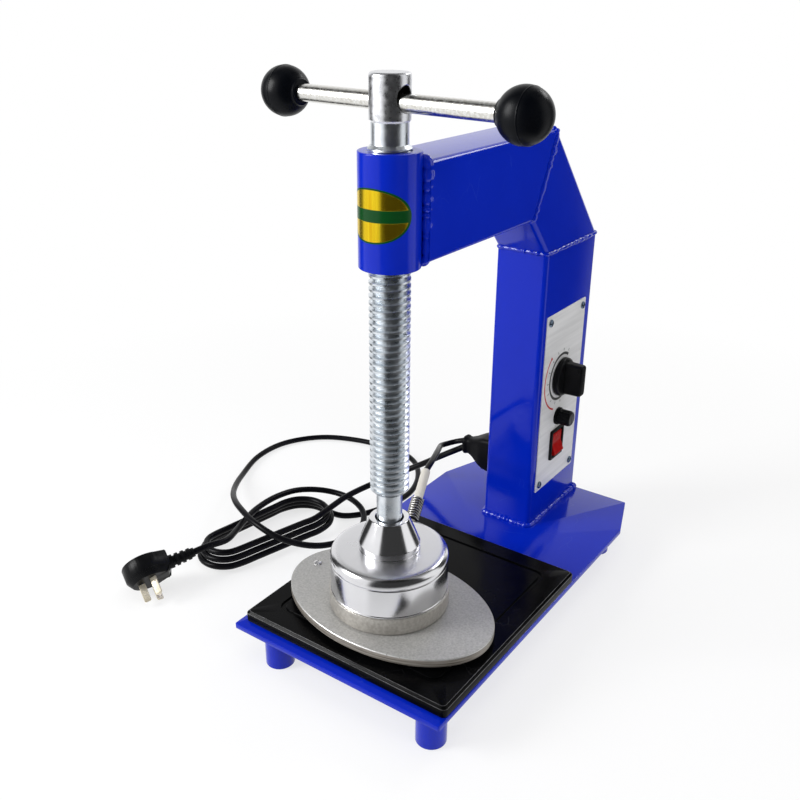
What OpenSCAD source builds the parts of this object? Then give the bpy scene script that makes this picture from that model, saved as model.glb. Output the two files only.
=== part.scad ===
// Bench tyre vulcanizer: a C-frame on four feet carries a hand screw that presses
// an electrically heated shoe onto a lower plate. Millimetres, +Z up, +Y to the rear.

/* [Base] */
// Width of the base plate
base_w = 200; // [190:1:260]
// Length of the base plate
base_len = 372; // [366:1:440]
// Thickness of the base plate
base_t = 5; // [3:0.5:10]
// Sideways reach of the cut across each rear corner
base_clip_x = 17; // [5:1:40]
// Lengthways reach of the cut across each rear corner
base_clip_y = 52; // [10:1:80]
// Distance from the front edge to the screw axis
screw_setback = 78; // [74:1:110]
// Diameter of a foot
foot_d = 24; // [16:1:36]
// Height of a foot
foot_h = 30; // [12:1:60]
// Distance from the front edge to the front feet
foot_inset_front = 18; // [14:1:40]
// Distance from the right edge to the front right foot
foot_inset_right = 18; // [14:1:40]
// Distance from the right edge to the rear right foot
foot_inset_rear_right = 26; // [14:1:40]
// Distance from the left edge to the left feet
foot_inset_left = 32; // [14:1:50]
// Distance from the rear edge to the rear feet
foot_inset_rear = 45; // [32:1:90]

/* [C-frame] */
// Width of the frame tubes
tube_w = 50; // [46:1:70]
// Depth of the column tube
column_d = 100; // [96:1:120]
// Height of the column above the base plate
column_h = 270; // [240:1:340]
// Wall of the frame tubes
tube_wall = 3; // [2:0.5:5]
// Outer corner radius of the frame tubes
tube_r = 4.5; // [4:0.5:9]
// Height of the arm tube
arm_h = 70; // [60:1:90]
// Rise of the elbow from the column to the underside of the arm
elbow_rise = 33; // [20:1:60]
// Lean of the elbow from upright
elbow_lean = 43; // [35:0.5:50]
// Distance from the screw axis to the end of the arm tube
arm_setback = 12; // [6:1:18]
// Outer diameter of the threaded sleeve
sleeve_d = 44; // [38:1:49]
// Height of the threaded sleeve
sleeve_h = 79; // [74:1:100]
// Drop of the sleeve below the arm
sleeve_drop = 3; // [1:0.5:10]

/* [Lower plate] */
// Width of the lower plate
plate_w = 195; // [150:1:198]
// Length of the lower plate
plate_len = 209; // [180:1:230]
// Thickness of the lower plate
plate_t = 9.5; // [6:0.5:20]
// Bevel round the top of the lower plate
plate_bevel = 2; // [0.5:0.5:4]
// Distance from the front edge of the base to the lower plate
plate_inset = 8; // [2:1:20]
// Sideways offset of the lower plate
plate_shift = 2; // [-2:0.5:2]
// Distance from the edge of the lower plate to its groove
groove_inset = 18; // [10:1:30]
// Width of the groove
groove_w = 3.5; // [1:0.5:6]
// Depth of the groove
groove_depth = 1.2; // [0.5:0.1:3]
// Diameter of the bolts that hold the lower plate
bolt_d = 6; // [4:1:8]
// Distance from the side of the lower plate to its bolts
bolt_inset_x = 10; // [8:1:14]
// Distance from the end of the lower plate to its bolts
bolt_inset_y = 34; // [32:1:60]

/* [Pressing head] */
// Gap between the shoe and the lower plate as shown
head_gap = 4.5; // [1:0.5:20]
// Length of the oval shoe
shoe_len = 188; // [150:1:196]
// Width of the oval shoe
shoe_w = 124; // [104:1:140]
// Thickness of the oval shoe
shoe_t = 7; // [5:0.5:15]
// Turn of the shoe about the screw axis
shoe_turn = -3; // [-20:1:20]
// Diameter of the heater block
block_d = 97; // [90:0.5:103]
// Height of the heater block below the cap
block_h = 15; // [12:0.5:25]
// Outer diameter of the heater cap
cap_d = 95; // [88:0.5:96]
// Height of the heater cap
cap_h = 35; // [30:1:45]
// Shoulder radius of the heater cap
cap_r = 8; // [3:0.5:12]
// Wall of the heater cap
cap_wall = 1.5; // [1:0.25:3]
// Diameter of the heating disc
heater_d = 80; // [60:1:84]
// Thickness of the heating disc
heater_t = 8; // [5:0.5:11]
// Thickness of the insulation pad above the heating disc
pad_t = 4; // [2:0.5:8]
// Diameter at the foot of the cone cup
cup_d = 49; // [44:0.5:58]
// Height of the straight foot of the cone cup
cup_foot_h = 7; // [4:0.5:12]
// Full height of the cone cup
cup_h = 28; // [24:1:40]
// Diameter at the top of the cone cup
cup_top_d = 31; // [29:0.5:38]
// Opening at the top of the cone cup
cup_hole_d = 22.6; // [21.5:0.1:24]

/* [Screw and handle] */
// Diameter over the thread
screw_d = 30; // [26:0.5:34]
// Length of the thread
thread_len = 260; // [220:1:300]
// Diameter of the neck below the thread
neck_d = 20; // [16:0.5:21]
// Height of the thread above the cone cup
neck_len = 24; // [15:1:40]
// Diameter of the collar that the cone cup holds
collar_d = 25; // [24:0.5:26]
// Height of that collar
collar_h = 10; // [6:0.5:13]
// Diameter of the plain shank above the thread
shank_d = 25.5; // [20:0.5:28]
// Length of the plain shank
shank_len = 15; // [10:1:40]
// Diameter of the screw head
head_d = 28; // [24:0.5:34]
// Height of the screw head
head_h = 30; // [26:1:45]
// Diameter of the cross hole in the head
cross_hole_d = 17; // [15:0.5:19]
// Height of the cross hole above the foot of the head
cross_hole_h = 14; // [12:0.5:18]
// Diameter of the handle bar
bar_d = 12; // [8:0.5:14]
// Distance between the centres of the ball knobs
ball_span = 201; // [140:1:260]
// Diameter of a ball knob
ball_d = 35; // [25:1:45]
// Depth of the socket in a ball knob
ball_socket = 20; // [12:1:24]
// Sideways position of the bar in its hole
bar_shift = 3; // [-3:0.5:3]
// Turn of the bar about the screw axis
bar_turn = -5; // [-30:1:30]

/* [Control panel] */
// Width of the control panel
panel_w = 78; // [68:1:86]
// Height of the control panel
panel_h = 177; // [160:1:200]
// Thickness of the control panel
panel_t = 1; // [0.8:0.1:2]
// Height of the panel's lower edge above the base plate
panel_lift = 34; // [20:1:50]
// Distance from the front of the column to the panel
panel_front = 8; // [6:1:14]
// Distance from the panel's edge to its screws
panel_screw_inset = 6.5; // [5:0.5:10]
// Head diameter of the panel screws
panel_screw_d = 7; // [5:0.5:9]
// Height of the timer dial above the panel's lower edge
timer_lift = 110; // [100:1:125]
// Diameter of the skirt of the timer knob
knob_d = 37; // [30:0.5:44]
// Thickness of the skirt
knob_skirt = 7; // [4:0.5:10]
// Width of the knob's grip
grip_w = 11; // [8:0.5:16]
// Length of the knob's grip
grip_len = 31; // [24:0.5:36]
// Reach of the grip from the panel
grip_reach = 23; // [16:0.5:30]
// Diameter of the timer spindle
spindle_d = 6; // [4:0.5:8]
// Height of the fuse above the panel's lower edge
fuse_lift = 69; // [64:1:76]
// Diameter of the fuse cap
fuse_cap_d = 15; // [12:0.5:18]
// Height of the switch above the panel's lower edge
switch_lift = 41; // [32:1:46]
// Width of the switch bezel
bezel_w = 26; // [22:0.5:34]
// Height of the switch bezel
bezel_h = 31; // [26:0.5:36]
// Thickness of the switch bezel
bezel_t = 2.5; // [1.5:0.5:4]
// Tilt of the rocker either way
rocker_tilt = 10; // [6:1:14]

/* [Mains lead] */
// Diameter of the mains cord
cord_d = 6.2; // [5:0.1:6.4]
// Diameter of the white sleeve on the heater lead
sleeve_lead_d = 8; // [6.5:0.5:9]
// Wire of the bend-relief spring
spring_wire = 1.5; // [1:0.1:1.7]
// Curls in the bend-relief spring
spring_curls = 9; // [5:1:10]
// Length of the bend-relief spring
spring_len = 24; // [22:1:30]
// Height of the cable boot above the base plate
boot_lift = 56; // [40:1:80]
// Reach of the cable boot from the column
boot_reach = 37; // [30:1:45]
// Turns in the bundled cord
hank_turns = 2; // [1:1:3]

/* [Hidden] */
$fn = 96;

// Clearances
run_gap = 0.05;
seat_gap = 0.1;
part_gap = 0.3;
over = 1;

// Levels and places
base_top = foot_h + base_t;
axis_y = screw_setback - base_len / 2;
column_rear = base_len / 2;
column_front = column_rear - column_d;
column_y = (column_front + column_rear) / 2;
joint_z = base_top + column_h;
arm_z = joint_z + elbow_rise;
arm_top = arm_z + arm_h;
elbow_in_y = column_front - elbow_rise * tan(elbow_lean);
elbow_out_y = column_rear - (elbow_rise + arm_h) * tan(elbow_lean);
sleeve_z = arm_z - sleeve_drop;
plate_top = base_top + plate_t;
plate_y = plate_inset + plate_len / 2 - base_len / 2;
shoe_z = plate_top + head_gap;
block_z = shoe_z + shoe_t;
cap_z = block_z + block_h;
cup_z = cap_z + cap_h;
thrust_t = 3;
collar_z = cup_z + thrust_t + seat_gap;
thread_z = cup_z + cup_h + neck_len;
thread_top = thread_z + thread_len;
head_z = thread_top + shank_len;
hole_z = head_z + cross_hole_h;
bar_z = hole_z - (cross_hole_d - bar_d) / 2 + seat_gap;
spigot_step = 4;
spigot_d = shank_d - 2 * spigot_step;
spigot_h = 5;

// Panel
panel_x = tube_w / 2;
panel_face = panel_x + panel_t;
panel_y = column_front + panel_front + panel_w / 2;
panel_z = base_top + panel_lift;
control_shift = -3;
control_y = panel_y + control_shift;
timer_z = panel_z + timer_lift;
fuse_z = panel_z + fuse_lift;
switch_z = panel_z + switch_lift;
window_w = panel_w - 4 * panel_screw_inset;
window_h = panel_h - 4 * panel_screw_inset;
knob_bore = 10;
rocker_pivot_x = panel_face + 1;
rocker_w = bezel_w - 6;
rocker_h = bezel_h - 7;

// Small parts
screw_shank_d = 3.3;
screw_head_h = 2;
slot_w = 1.1;
plate_corner_r = 4;
groove_r = 10;
bolt_head_h = 4;
timer_w = 44;
timer_h = 48;
timer_depth = 30;
spindle_root = 12;
spindle_out = 14;
bush_out = 0.5;
knob_clear = 1;
knob_bevel = 2;
fuse_barrel = 25;
fuse_barrel_d = fuse_cap_d - 3;
fuse_floor = 2;
fuse_lip = 2;
fuse_grip = 11;
fuse_link_d = 6.2;
fuse_link_len = 22;
switch_depth = 24;
bezel_lip = 2;
rocker_well = 8;
rocker_gap = 0.4;
shoe_screw_x = 14 - shoe_len / 2;
shoe_tap_d = 4;
shoe_tap = 4;

// Cable boot and leads
boot_inset = 22;
boot_y = column_front + boot_inset;
boot_z = base_top + boot_lift;
boot_tip_x = -tube_w / 2 - boot_reach;
boot_root_h = 34;
boot_root_w = 26;
boot_tip_h = 17;
boot_tip_w = 12;
boot_root = 11;
boot_tip = 6;
boot_neck_d = 19.4;
lead_rise = 3.5;
heater_cable_d = 5.4;
cord_sides = 8;
floor_z = cord_d / 2 + 0.1;

// Heater lead from the cap to the boot
port_x = -11;
port_back = 46;
port_rise = 29;
port_len = 40;
lead_port = [port_x, axis_y + port_back, cap_z + port_rise];
spring_axis = unit([-20, 50, 18]);
sleeve_from = 2;
sleeve_to = 62;
sleeve_end = lead_port + spring_axis * sleeve_to;
sleeve_route = [for (s = [sleeve_from : 10 : sleeve_to]) lead_port + spring_axis * s];
cable_route = [sleeve_end, [-38, 9, 119.5], [-49, 34, 114.5], [-63, 60, 104], [-76, 82, 93],
  [-81, 93, 89], [-78.5, 101.5, 88.5], [-72, 107, 90.5], [boot_tip_x, boot_y, boot_z + lead_rise]];

// Mains cord from the boot to the bundle
run_route = [[boot_tip_x, boot_y, boot_z - lead_rise], [-84, 104, 73], [-112, 104, 53],
  [-138, 94, 37], [-156, 72, 28], [-165, 44, 24.5], [-167, 18, 22]];

// Bundle: turns round two centres, from the top inner turn down to the bench
hank_near = [-212, -84];
hank_far = [-193, 2];
hank_near_r = 19;
hank_far_r = 25;
hank_grow = 3.2;
hank_drop = 5.8;
hank_steps = 24;
hank_count = round((hank_turns + 0.875) * hank_steps);
hank_axis = unit(hank_far - hank_near);
hank_east = [hank_axis.y, -hank_axis.x];

// Loose loop from the bundle to the plug
loop_route = [[-168, 36.5, 3.6], [-155, 46, 4], [-145, 63, 4], [-137, 91, 4], [-137, 123, 4],
  [-151, 156, 4], [-176, 182, 4], [-212, 192, 4], [-260, 186, 4], [-302, 166, 4], [-328, 128, 4],
  [-330, 84, 4], [-312, 38, 5], [-286, 0, 14], [-256, -30, 26], [-226, -50, 33], [-193, -62, 33],
  [-164, -58, 25], [-140, -38, 16], [-127, -8, 12], [-130, 24, 12], [-148, 47, 13], [-176, 57, 14],
  [-203, 50, 16], [-219, 28, 21], [-224, 0, 24.5], [-224, -28, 24.6], [-217, -54, 25.5],
  [-207, -77, 28], [-199.5, -97, 31]];

// Plug, leaning on its pins
plug_at = [-238, -166, 28.1];
plug_turn = 70;
plug_lean = 34;
plug_roll = 12;
plug_t = 20;
plug_r = 20;
plug_neck = 22;
relief_len = 24;

function unit(v) = v / norm(v);
function cubic(a, b, c, d, t) =
  0.5 * (2 * b + (c - a) * t + (2 * a - 5 * b + 4 * c - d) * t * t + (3 * b - a - 3 * c + d) * t * t * t);
function smooth(p, n) = let (m = len(p) - 1)
  [for (i = [0 : m - 1]) for (k = [0 : n - 1])
    cubic(p[max(i - 1, 0)], p[i], p[i + 1], p[min(i + 2, m)], k / n), p[m]];
function dir_at(p, i) = unit(p[min(i + 1, len(p) - 1)] - p[max(i - 1, 0)]);
function ring(c, t, ref, r, n) = let (s = unit(cross(t, ref)), u = cross(s, t))
  [for (k = [0 : n - 1]) c + r * (cos(360 * k / n) * s + sin(360 * k / n) * u)];
function hank_path(u, grow) = let (
    s = u * 4,
    q = floor(s) % 4,
    f = s - floor(s),
    rn = hank_near_r + grow,
    rf = hank_far_r + grow,
    a = q == 1 ? 180 * f : q == 3 ? 180 * f : 0)
  q == 0 ? (hank_far + hank_east * rf) * (1 - f) + (hank_near + hank_east * rn) * f :
  q == 1 ? hank_near + rn * (hank_east * cos(a) - hank_axis * sin(a)) :
  q == 2 ? (hank_near - hank_east * rn) * (1 - f) + (hank_far - hank_east * rf) * f :
  hank_far + rf * (hank_axis * sin(a) - hank_east * cos(a));
function hank_point(i) = let (u = i / hank_steps, p = hank_path(u, hank_grow * u))
  [p.x, p.y, floor_z + hank_drop * (hank_count / hank_steps - u)];
hank_points = [for (i = [0 : hank_count]) hank_point(i)];
hank_in = unit(hank_points[1] - hank_points[0]);
hank_out = unit(hank_points[hank_count] - hank_points[hank_count - 1]);
hank_gap = min([for (i = [0 : hank_count]) for (j = [i + 6 : 1 : hank_count])
  norm(hank_points[i] - hank_points[j])]) - cord_d;
echo(hank_gap = hank_gap);
spring_mean = sleeve_lead_d / 2 + spring_wire / 2 + part_gap;
spring_gap = spring_len / spring_curls - spring_wire;
echo(spring_gap = spring_gap);

// A round tube swept along a list of points
module sweep(p, r, n, ref, start_dir, end_dir) {
  m = len(p);
  rings = [for (i = [0 : m - 1])
    each ring(p[i], i == 0 ? start_dir : i == m - 1 ? end_dir : dir_at(p, i), ref, r, n)];
  walls = [for (i = [0 : m - 2]) for (k = [0 : n - 1]) let (a = i * n + k, b = i * n + (k + 1) % n)
    each [[a, b, a + n], [b, b + n, a + n]]];
  caps = [for (k = [1 : n - 2]) each [[0, k + 1, k], [(m - 1) * n, (m - 1) * n + k, (m - 1) * n + k + 1]]];
  polyhedron(points = rings, faces = concat(walls, caps), convexity = 10);
}

module round_rect(w, d, r) {
  square([w - 2 * r, d], center = true);
  square([w, d - 2 * r], center = true);
  for (x = [-1, 1]) for (y = [-1, 1]) translate([x * (w / 2 - r), y * (d / 2 - r)]) circle(r);
}

module tube_section(w, d) {
  difference() {
    round_rect(w, d, tube_r);
    round_rect(w - 2 * tube_wall, d - 2 * tube_wall, tube_r - tube_wall);
  }
}

// A profile in the frame's middle plane, pushed out to both sides
module side_slab(points) {
  rotate([90, 0, 90]) translate([0, 0, -tube_w]) linear_extrude(2 * tube_w) polygon(points);
}

module on_axis(z) { translate([0, axis_y, z]) children(); }
module on_panel(z, x = panel_face) { translate([x, control_y, z]) rotate([0, 90, 0]) children(); }

foot_x = [-base_w / 2 + foot_inset_left, base_w / 2 - foot_inset_right, base_w / 2 - foot_inset_rear_right];
foot_y = [foot_inset_front - base_len / 2, base_len / 2 - foot_inset_rear];
bolt_x = plate_w / 2 - bolt_inset_x;
bolt_y = plate_len / 2 - bolt_inset_y;
bolt_places = [for (x = [-1, 1]) for (y = [-1, 1]) [plate_shift + x * bolt_x, plate_y + y * bolt_y]];
screw_places = [for (y = [-1, 1]) for (z = [0, 1])
  [panel_y + y * (panel_w / 2 - panel_screw_inset),
   panel_z + panel_screw_inset + z * (panel_h - 2 * panel_screw_inset)]];

module base_plate() {
  w = base_w / 2;
  l = base_len / 2;
  color("royalblue") difference() {
    translate([0, 0, foot_h]) linear_extrude(base_t)
      polygon([[-w, -l], [w, -l], [w, l - base_clip_y], [w - base_clip_x, l], [base_clip_x - w, l],
        [-w, l - base_clip_y]]);
    for (p = bolt_places) translate([p.x, p.y, foot_h - over])
      cylinder(d = bolt_d + 2 * part_gap, h = base_t + 2 * over);
  }
}

module foot(x, y) {
  color("royalblue") translate([x, y, 0]) cylinder(d = foot_d, h = foot_h);
}

module column() {
  color("royalblue") difference() {
    translate([0, column_y, base_top]) linear_extrude(column_h) tube_section(tube_w, column_d);
    translate([panel_x - tube_wall - over, panel_y - window_w / 2, panel_z + (panel_h - window_h) / 2])
      cube([tube_wall + 2 * over, window_w, window_h]);
    for (p = screw_places) translate([panel_x - tube_wall - over, p.x, p.y]) rotate([0, 90, 0])
      cylinder(d = screw_shank_d + seat_gap, h = tube_wall + 2 * over);
    translate([-tube_w / 2 - over, boot_y, boot_z]) rotate([0, 90, 0])
      cylinder(d = boot_neck_d + 2 * part_gap, h = tube_wall + 2 * over);
  }
}

mitre_dir = unit([elbow_out_y - elbow_in_y, arm_h]);
mitre_over = 60;
mitre_low = [elbow_in_y, arm_z] - mitre_over * mitre_dir;
mitre_high = [elbow_out_y, arm_top] + mitre_over * mitre_dir;

module elbow() {
  depth = column_d * cos(elbow_lean);
  color("royalblue") intersection() {
    translate([0, column_y, joint_z]) rotate([elbow_lean, 0, 0]) translate([0, 0, -column_d])
      linear_extrude(4 * column_d) tube_section(tube_w, depth);
    side_slab([[column_front - tube_w, joint_z], [column_rear + tube_w, joint_z], mitre_high, mitre_low]);
  }
}

module arm() {
  front = axis_y + arm_setback;
  color("royalblue") difference() {
    intersection() {
      translate([0, front, arm_z + arm_h / 2]) rotate([-90, 0, 0]) linear_extrude(2 * column_d + base_len)
        tube_section(tube_w, arm_h);
      side_slab([[front - over, arm_z - mitre_over], mitre_low, mitre_high,
        [front - over, arm_top + mitre_over]]);
    }
    on_axis(arm_z - over) cylinder(d = sleeve_d + 2 * seat_gap, h = arm_h + 2 * over);
  }
}

module sleeve() {
  color("royalblue") on_axis(sleeve_z) difference() {
    cylinder(d = sleeve_d, h = sleeve_h);
    translate([0, 0, -over]) cylinder(d = screw_d + 2 * run_gap, h = sleeve_h + 2 * over);
  }
}

module groove_line(w, d, r) {
  difference() {
    round_rect(w, d, r);
    round_rect(w - 2 * groove_w, d - 2 * groove_w, r - groove_w / 2);
  }
}

module lower_plate() {
  w = plate_w / 2;
  l = plate_len / 2;
  bevel_z = plate_t - plate_bevel;
  color("#1c1c1f") translate([plate_shift, plate_y, base_top]) difference() {
    intersection() {
      linear_extrude(plate_t) round_rect(plate_w, plate_len, plate_corner_r);
      rotate([90, 0, 90]) translate([0, 0, -plate_w]) linear_extrude(2 * plate_w)
        polygon([[-l - over, 0], [l + over, 0], [l + over, bevel_z - over], [l - plate_bevel, plate_t],
          [plate_bevel - l, plate_t], [-l - over, bevel_z - over]]);
      rotate([90, 0, 0]) translate([0, 0, -plate_len]) linear_extrude(2 * plate_len)
        polygon([[-w - over, 0], [w + over, 0], [w + over, bevel_z - over], [w - plate_bevel, plate_t],
          [plate_bevel - w, plate_t], [-w - over, bevel_z - over]]);
    }
    translate([0, 0, plate_t - groove_depth]) linear_extrude(groove_depth + over)
      groove_line(plate_w - 2 * groove_inset, plate_len - 2 * groove_inset, groove_r);
    for (x = [-1, 1]) for (y = [-1, 1]) translate([x * bolt_x, y * bolt_y, -over])
      cylinder(d = bolt_d + 2 * run_gap, h = plate_t - plate_bevel);
  }
}

// Hexagon bolt from below the base into the lower plate
module plate_bolt(p) {
  color("silver") translate([p.x, p.y, foot_h]) {
    translate([0, 0, -bolt_head_h]) cylinder(d = 1.8 * bolt_d, h = bolt_head_h, $fn = 6);
    cylinder(d = bolt_d, h = base_t + plate_t - plate_bevel - 2 * over);
  }
}

module control_panel() {
  color("silver") difference() {
    translate([panel_x, panel_y - panel_w / 2, panel_z]) cube([panel_t, panel_w, panel_h]);
    on_panel(timer_z, panel_x - over) cylinder(d = knob_bore, h = panel_t + 2 * over);
    on_panel(fuse_z, panel_x - over) cylinder(d = fuse_barrel_d + 2 * run_gap, h = panel_t + 2 * over);
    translate([panel_x - over, control_y - bezel_w / 2 + bezel_lip, switch_z - bezel_h / 2 + bezel_lip])
      cube([panel_t + 2 * over, bezel_w - 2 * bezel_lip, bezel_h - 2 * bezel_lip]);
    for (p = screw_places) translate([panel_x - over, p.x, p.y]) rotate([0, 90, 0])
      cylinder(d = screw_shank_d + seat_gap, h = panel_t + 2 * over);
  }
}

// Pan-head screw with a slot, driven through the panel into the column wall
module panel_screw(p) {
  color("silver") translate([panel_face, p.x, p.y]) rotate([0, 90, 0]) {
    difference() {
      cylinder(d = panel_screw_d, h = screw_head_h);
      translate([-panel_screw_d, -slot_w / 2, screw_head_h / 2])
        cube([2 * panel_screw_d, slot_w, screw_head_h]);
    }
    translate([0, 0, -panel_t - tube_wall]) cylinder(d = screw_shank_d, h = panel_t + tube_wall);
  }
}

// Clockwork timer behind the panel, with its bush in the panel
module timer_body() {
  color("dimgray") difference() {
    union() {
      translate([panel_x - timer_depth, control_y - timer_w / 2, timer_z - timer_h / 2])
        cube([timer_depth, timer_w, timer_h]);
      on_panel(timer_z, panel_x) cylinder(d = knob_bore - 2 * run_gap, h = panel_t + bush_out);
    }
    on_panel(timer_z, panel_x - spindle_root)
      cylinder(d = spindle_d + 2 * run_gap, h = spindle_root + panel_t + bush_out + over);
  }
}

module timer_spindle() {
  color("silver") on_panel(timer_z, panel_x - spindle_root + part_gap)
    cylinder(d = spindle_d, h = spindle_root + panel_t + spindle_out);
}

// Skirted knob with a raised bar grip
module timer_knob() {
  color("#151517") difference() {
    on_panel(timer_z, panel_face + knob_clear) union() {
      cylinder(d = knob_d, h = knob_skirt - knob_bevel);
      translate([0, 0, knob_skirt - knob_bevel])
        cylinder(d1 = knob_d, d2 = knob_d - 2 * knob_bevel, h = knob_bevel);
      intersection() {
        translate([-grip_len / 2, -grip_w / 2, 0]) cube([grip_len, grip_w, grip_reach - knob_clear]);
        cylinder(d = grip_len + 1, h = grip_reach - knob_clear);
      }
    }
    on_panel(timer_z) cylinder(d = spindle_d + 2 * run_gap, h = spindle_out + over);
  }
}

module fuse_holder() {
  color("#151517") on_panel(fuse_z) difference() {
    union() {
      cylinder(d = fuse_cap_d + fuse_lip, h = fuse_lip);
      translate([0, 0, -fuse_barrel]) cylinder(d = fuse_barrel_d, h = fuse_barrel + over);
    }
    translate([0, 0, fuse_floor - fuse_barrel])
      cylinder(d = fuse_link_d + 2 * seat_gap, h = fuse_barrel + fuse_lip);
  }
}

module fuse_link() {
  color("gainsboro") on_panel(fuse_z) translate([0, 0, fuse_floor - fuse_barrel + seat_gap])
    cylinder(d = fuse_link_d, h = fuse_link_len);
}

// Ribbed turn cap of the fuse holder
module fuse_cap() {
  rib_count = 16;
  rib_d = 2;
  color("#1b1b1d") on_panel(fuse_z) translate([0, 0, fuse_lip + seat_gap]) difference() {
    union() {
      cylinder(d = fuse_cap_d, h = fuse_grip);
      translate([0, 0, fuse_grip]) cylinder(d1 = fuse_cap_d, d2 = fuse_cap_d - 4, h = 2);
    }
    for (k = [1 : rib_count]) rotate([0, 0, 360 * k / rib_count])
      translate([fuse_cap_d / 2 + rib_d / 4, 0, rib_d]) cylinder(d = rib_d, h = fuse_grip + over);
    translate([-fuse_cap_d / 4, -slot_w / 2, fuse_grip + over / 2]) cube([fuse_cap_d / 2, slot_w, rib_d]);
  }
}

module switch_housing() {
  body_w = bezel_w - 2 * bezel_lip - 2 * seat_gap;
  body_h = bezel_h - 2 * bezel_lip - 2 * seat_gap;
  well_w = rocker_w + 2 * rocker_gap;
  well_h = rocker_h + 3 * rocker_gap;
  color("#161618") difference() {
    union() {
      translate([panel_face, control_y - bezel_w / 2, switch_z - bezel_h / 2])
        cube([bezel_t, bezel_w, bezel_h]);
      translate([panel_x - switch_depth, control_y - body_w / 2, switch_z - body_h / 2])
        cube([switch_depth + panel_t + seat_gap, body_w, body_h]);
    }
    translate([panel_face - rocker_well, control_y - well_w / 2, switch_z - well_h / 2])
      cube([rocker_well + bezel_t + over, well_w, well_h]);
  }
}

// Rocker with two sloping faces, shown with its lower half out
module switch_rocker() {
  r = rocker_h / 2;
  color("#c01818") translate([rocker_pivot_x, control_y + rocker_w / 2, switch_z])
    rotate([0, -rocker_tilt, 0]) rotate([90, 0, 0]) linear_extrude(rocker_w)
      polygon([[-3, -r + 3], [1.5, -r + 0.6], [6, -r + 1.5], [3.6, 0], [6, r - 1.5], [1.5, r - 0.6],
        [-3, r - 3]]);
}

// Rubber boot where both leads leave the column
module cable_boot() {
  root = -tube_w / 2;
  slice = 0.2;
  color("#141416") {
    hull() {
      translate([root - boot_root, boot_y, boot_z]) cube([slice, boot_root_w, boot_root_h], center = true);
      translate([boot_tip_x + boot_tip, boot_y, boot_z])
        cube([slice, boot_tip_w, boot_tip_h], center = true);
    }
    translate([root - boot_root, boot_y - boot_root_w / 2, boot_z - boot_root_h / 2])
      cube([boot_root, boot_root_w, boot_root_h]);
    translate([boot_tip_x, boot_y - boot_tip_w / 2, boot_z - boot_tip_h / 2])
      cube([boot_tip + slice, boot_tip_w, boot_tip_h]);
    translate([root - over, boot_y, boot_z]) rotate([0, 90, 0])
      cylinder(d = boot_neck_d, h = tube_wall + 3 * over);
  }
}

module power_cord_lead() {
  p = smooth(concat(run_route, [hank_points[0]]), 3);
  color("#121214") sweep(p, cord_d / 2, cord_sides, [0, 0, 1], [-1, 0, 0], hank_in);
}

module power_cord_hank() {
  color("#121214") sweep(hank_points, cord_d / 2, 6, [0, 0, 1], hank_in, hank_out);
}

plug_exit_z = plug_t / 2;
function plug_place(v) = let (
    c = cos(plug_lean), s = sin(plug_lean),
    x = v.x * cos(plug_roll) - v.y * sin(plug_roll),
    y = v.x * sin(plug_roll) + v.y * cos(plug_roll),
    p = [x, -y * s - v.z * c, y * c - v.z * s])
  plug_at + [p.x * cos(plug_turn) - p.y * sin(plug_turn), p.x * sin(plug_turn) + p.y * cos(plug_turn), p.z];
cord_end = plug_place([plug_neck + relief_len, 0, plug_exit_z]);
plug_dir = plug_place([1, 0, 0]) - plug_at;

module power_cord_loop() {
  p = smooth(concat([hank_points[hank_count]], loop_route, [cord_end + 14 * plug_dir, cord_end]), 2);
  color("#121214") sweep(p, cord_d / 2, cord_sides, [0, 0, 1], hank_out, -plug_dir);
}

module in_plug() {
  translate(plug_at) rotate([0, 0, plug_turn]) rotate([90 + plug_lean, 0, 0])
    rotate([0, 0, plug_roll]) children();
}

// Moulded right-angle plug with a ribbed bend relief
module plug_body() {
  ribs = 4;
  color("#161618") in_plug() {
    difference() {
      union() {
        cylinder(r = plug_r, h = plug_t - 2);
        translate([0, 0, plug_t - 2]) cylinder(r1 = plug_r, r2 = plug_r - 2, h = 2);
        translate([0, -0.62 * plug_r, 1]) cube([plug_neck, 1.24 * plug_r, plug_t - 4]);
        translate([plug_neck - over, 0, plug_exit_z]) rotate([0, 90, 0])
          cylinder(d = 1.5 * cord_d, h = relief_len + over);
        for (k = [0 : ribs - 1]) translate([plug_neck + 3 + k * 5, 0, plug_exit_z]) rotate([0, 90, 0])
          cylinder(d = 2.2 * cord_d, h = 2.5);
      }
      for (k = [0 : 2]) plug_slot(k)
        cube([pin_w + 2 * seat_gap, pin_t + 2 * seat_gap, 2 * pin_root], center = true);
    }
  }
}

pin_len = 17;
pin_w = 6.2;
pin_t = 1.5;
pin_root = 10;
pin_turn = [30, -30, 0];
pin_place = [[3, 7.9], [3, -7.9], [-8, 0]];
module plug_slot(k) {
  translate([pin_place[k].x, pin_place[k].y, plug_t]) rotate([0, 0, pin_turn[k]]) children();
}

module plug_pin(k) {
  color("silver") in_plug() plug_slot(k) translate([-pin_w / 2, -pin_t / 2, seat_gap - pin_root])
    cube([pin_w, pin_t, pin_root + pin_len]);
}

module heater_lead_cable() {
  p = smooth(cable_route, 3);
  color("#121214") sweep(p, heater_cable_d / 2, cord_sides, [0, 0, 1], spring_axis, [1, 0, 0]);
}

module heater_lead_sleeve() {
  p = smooth(sleeve_route, 2);
  color("ivory") sweep(p, sleeve_lead_d / 2, cord_sides, [0, 0, 1], spring_axis, spring_axis);
}

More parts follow.
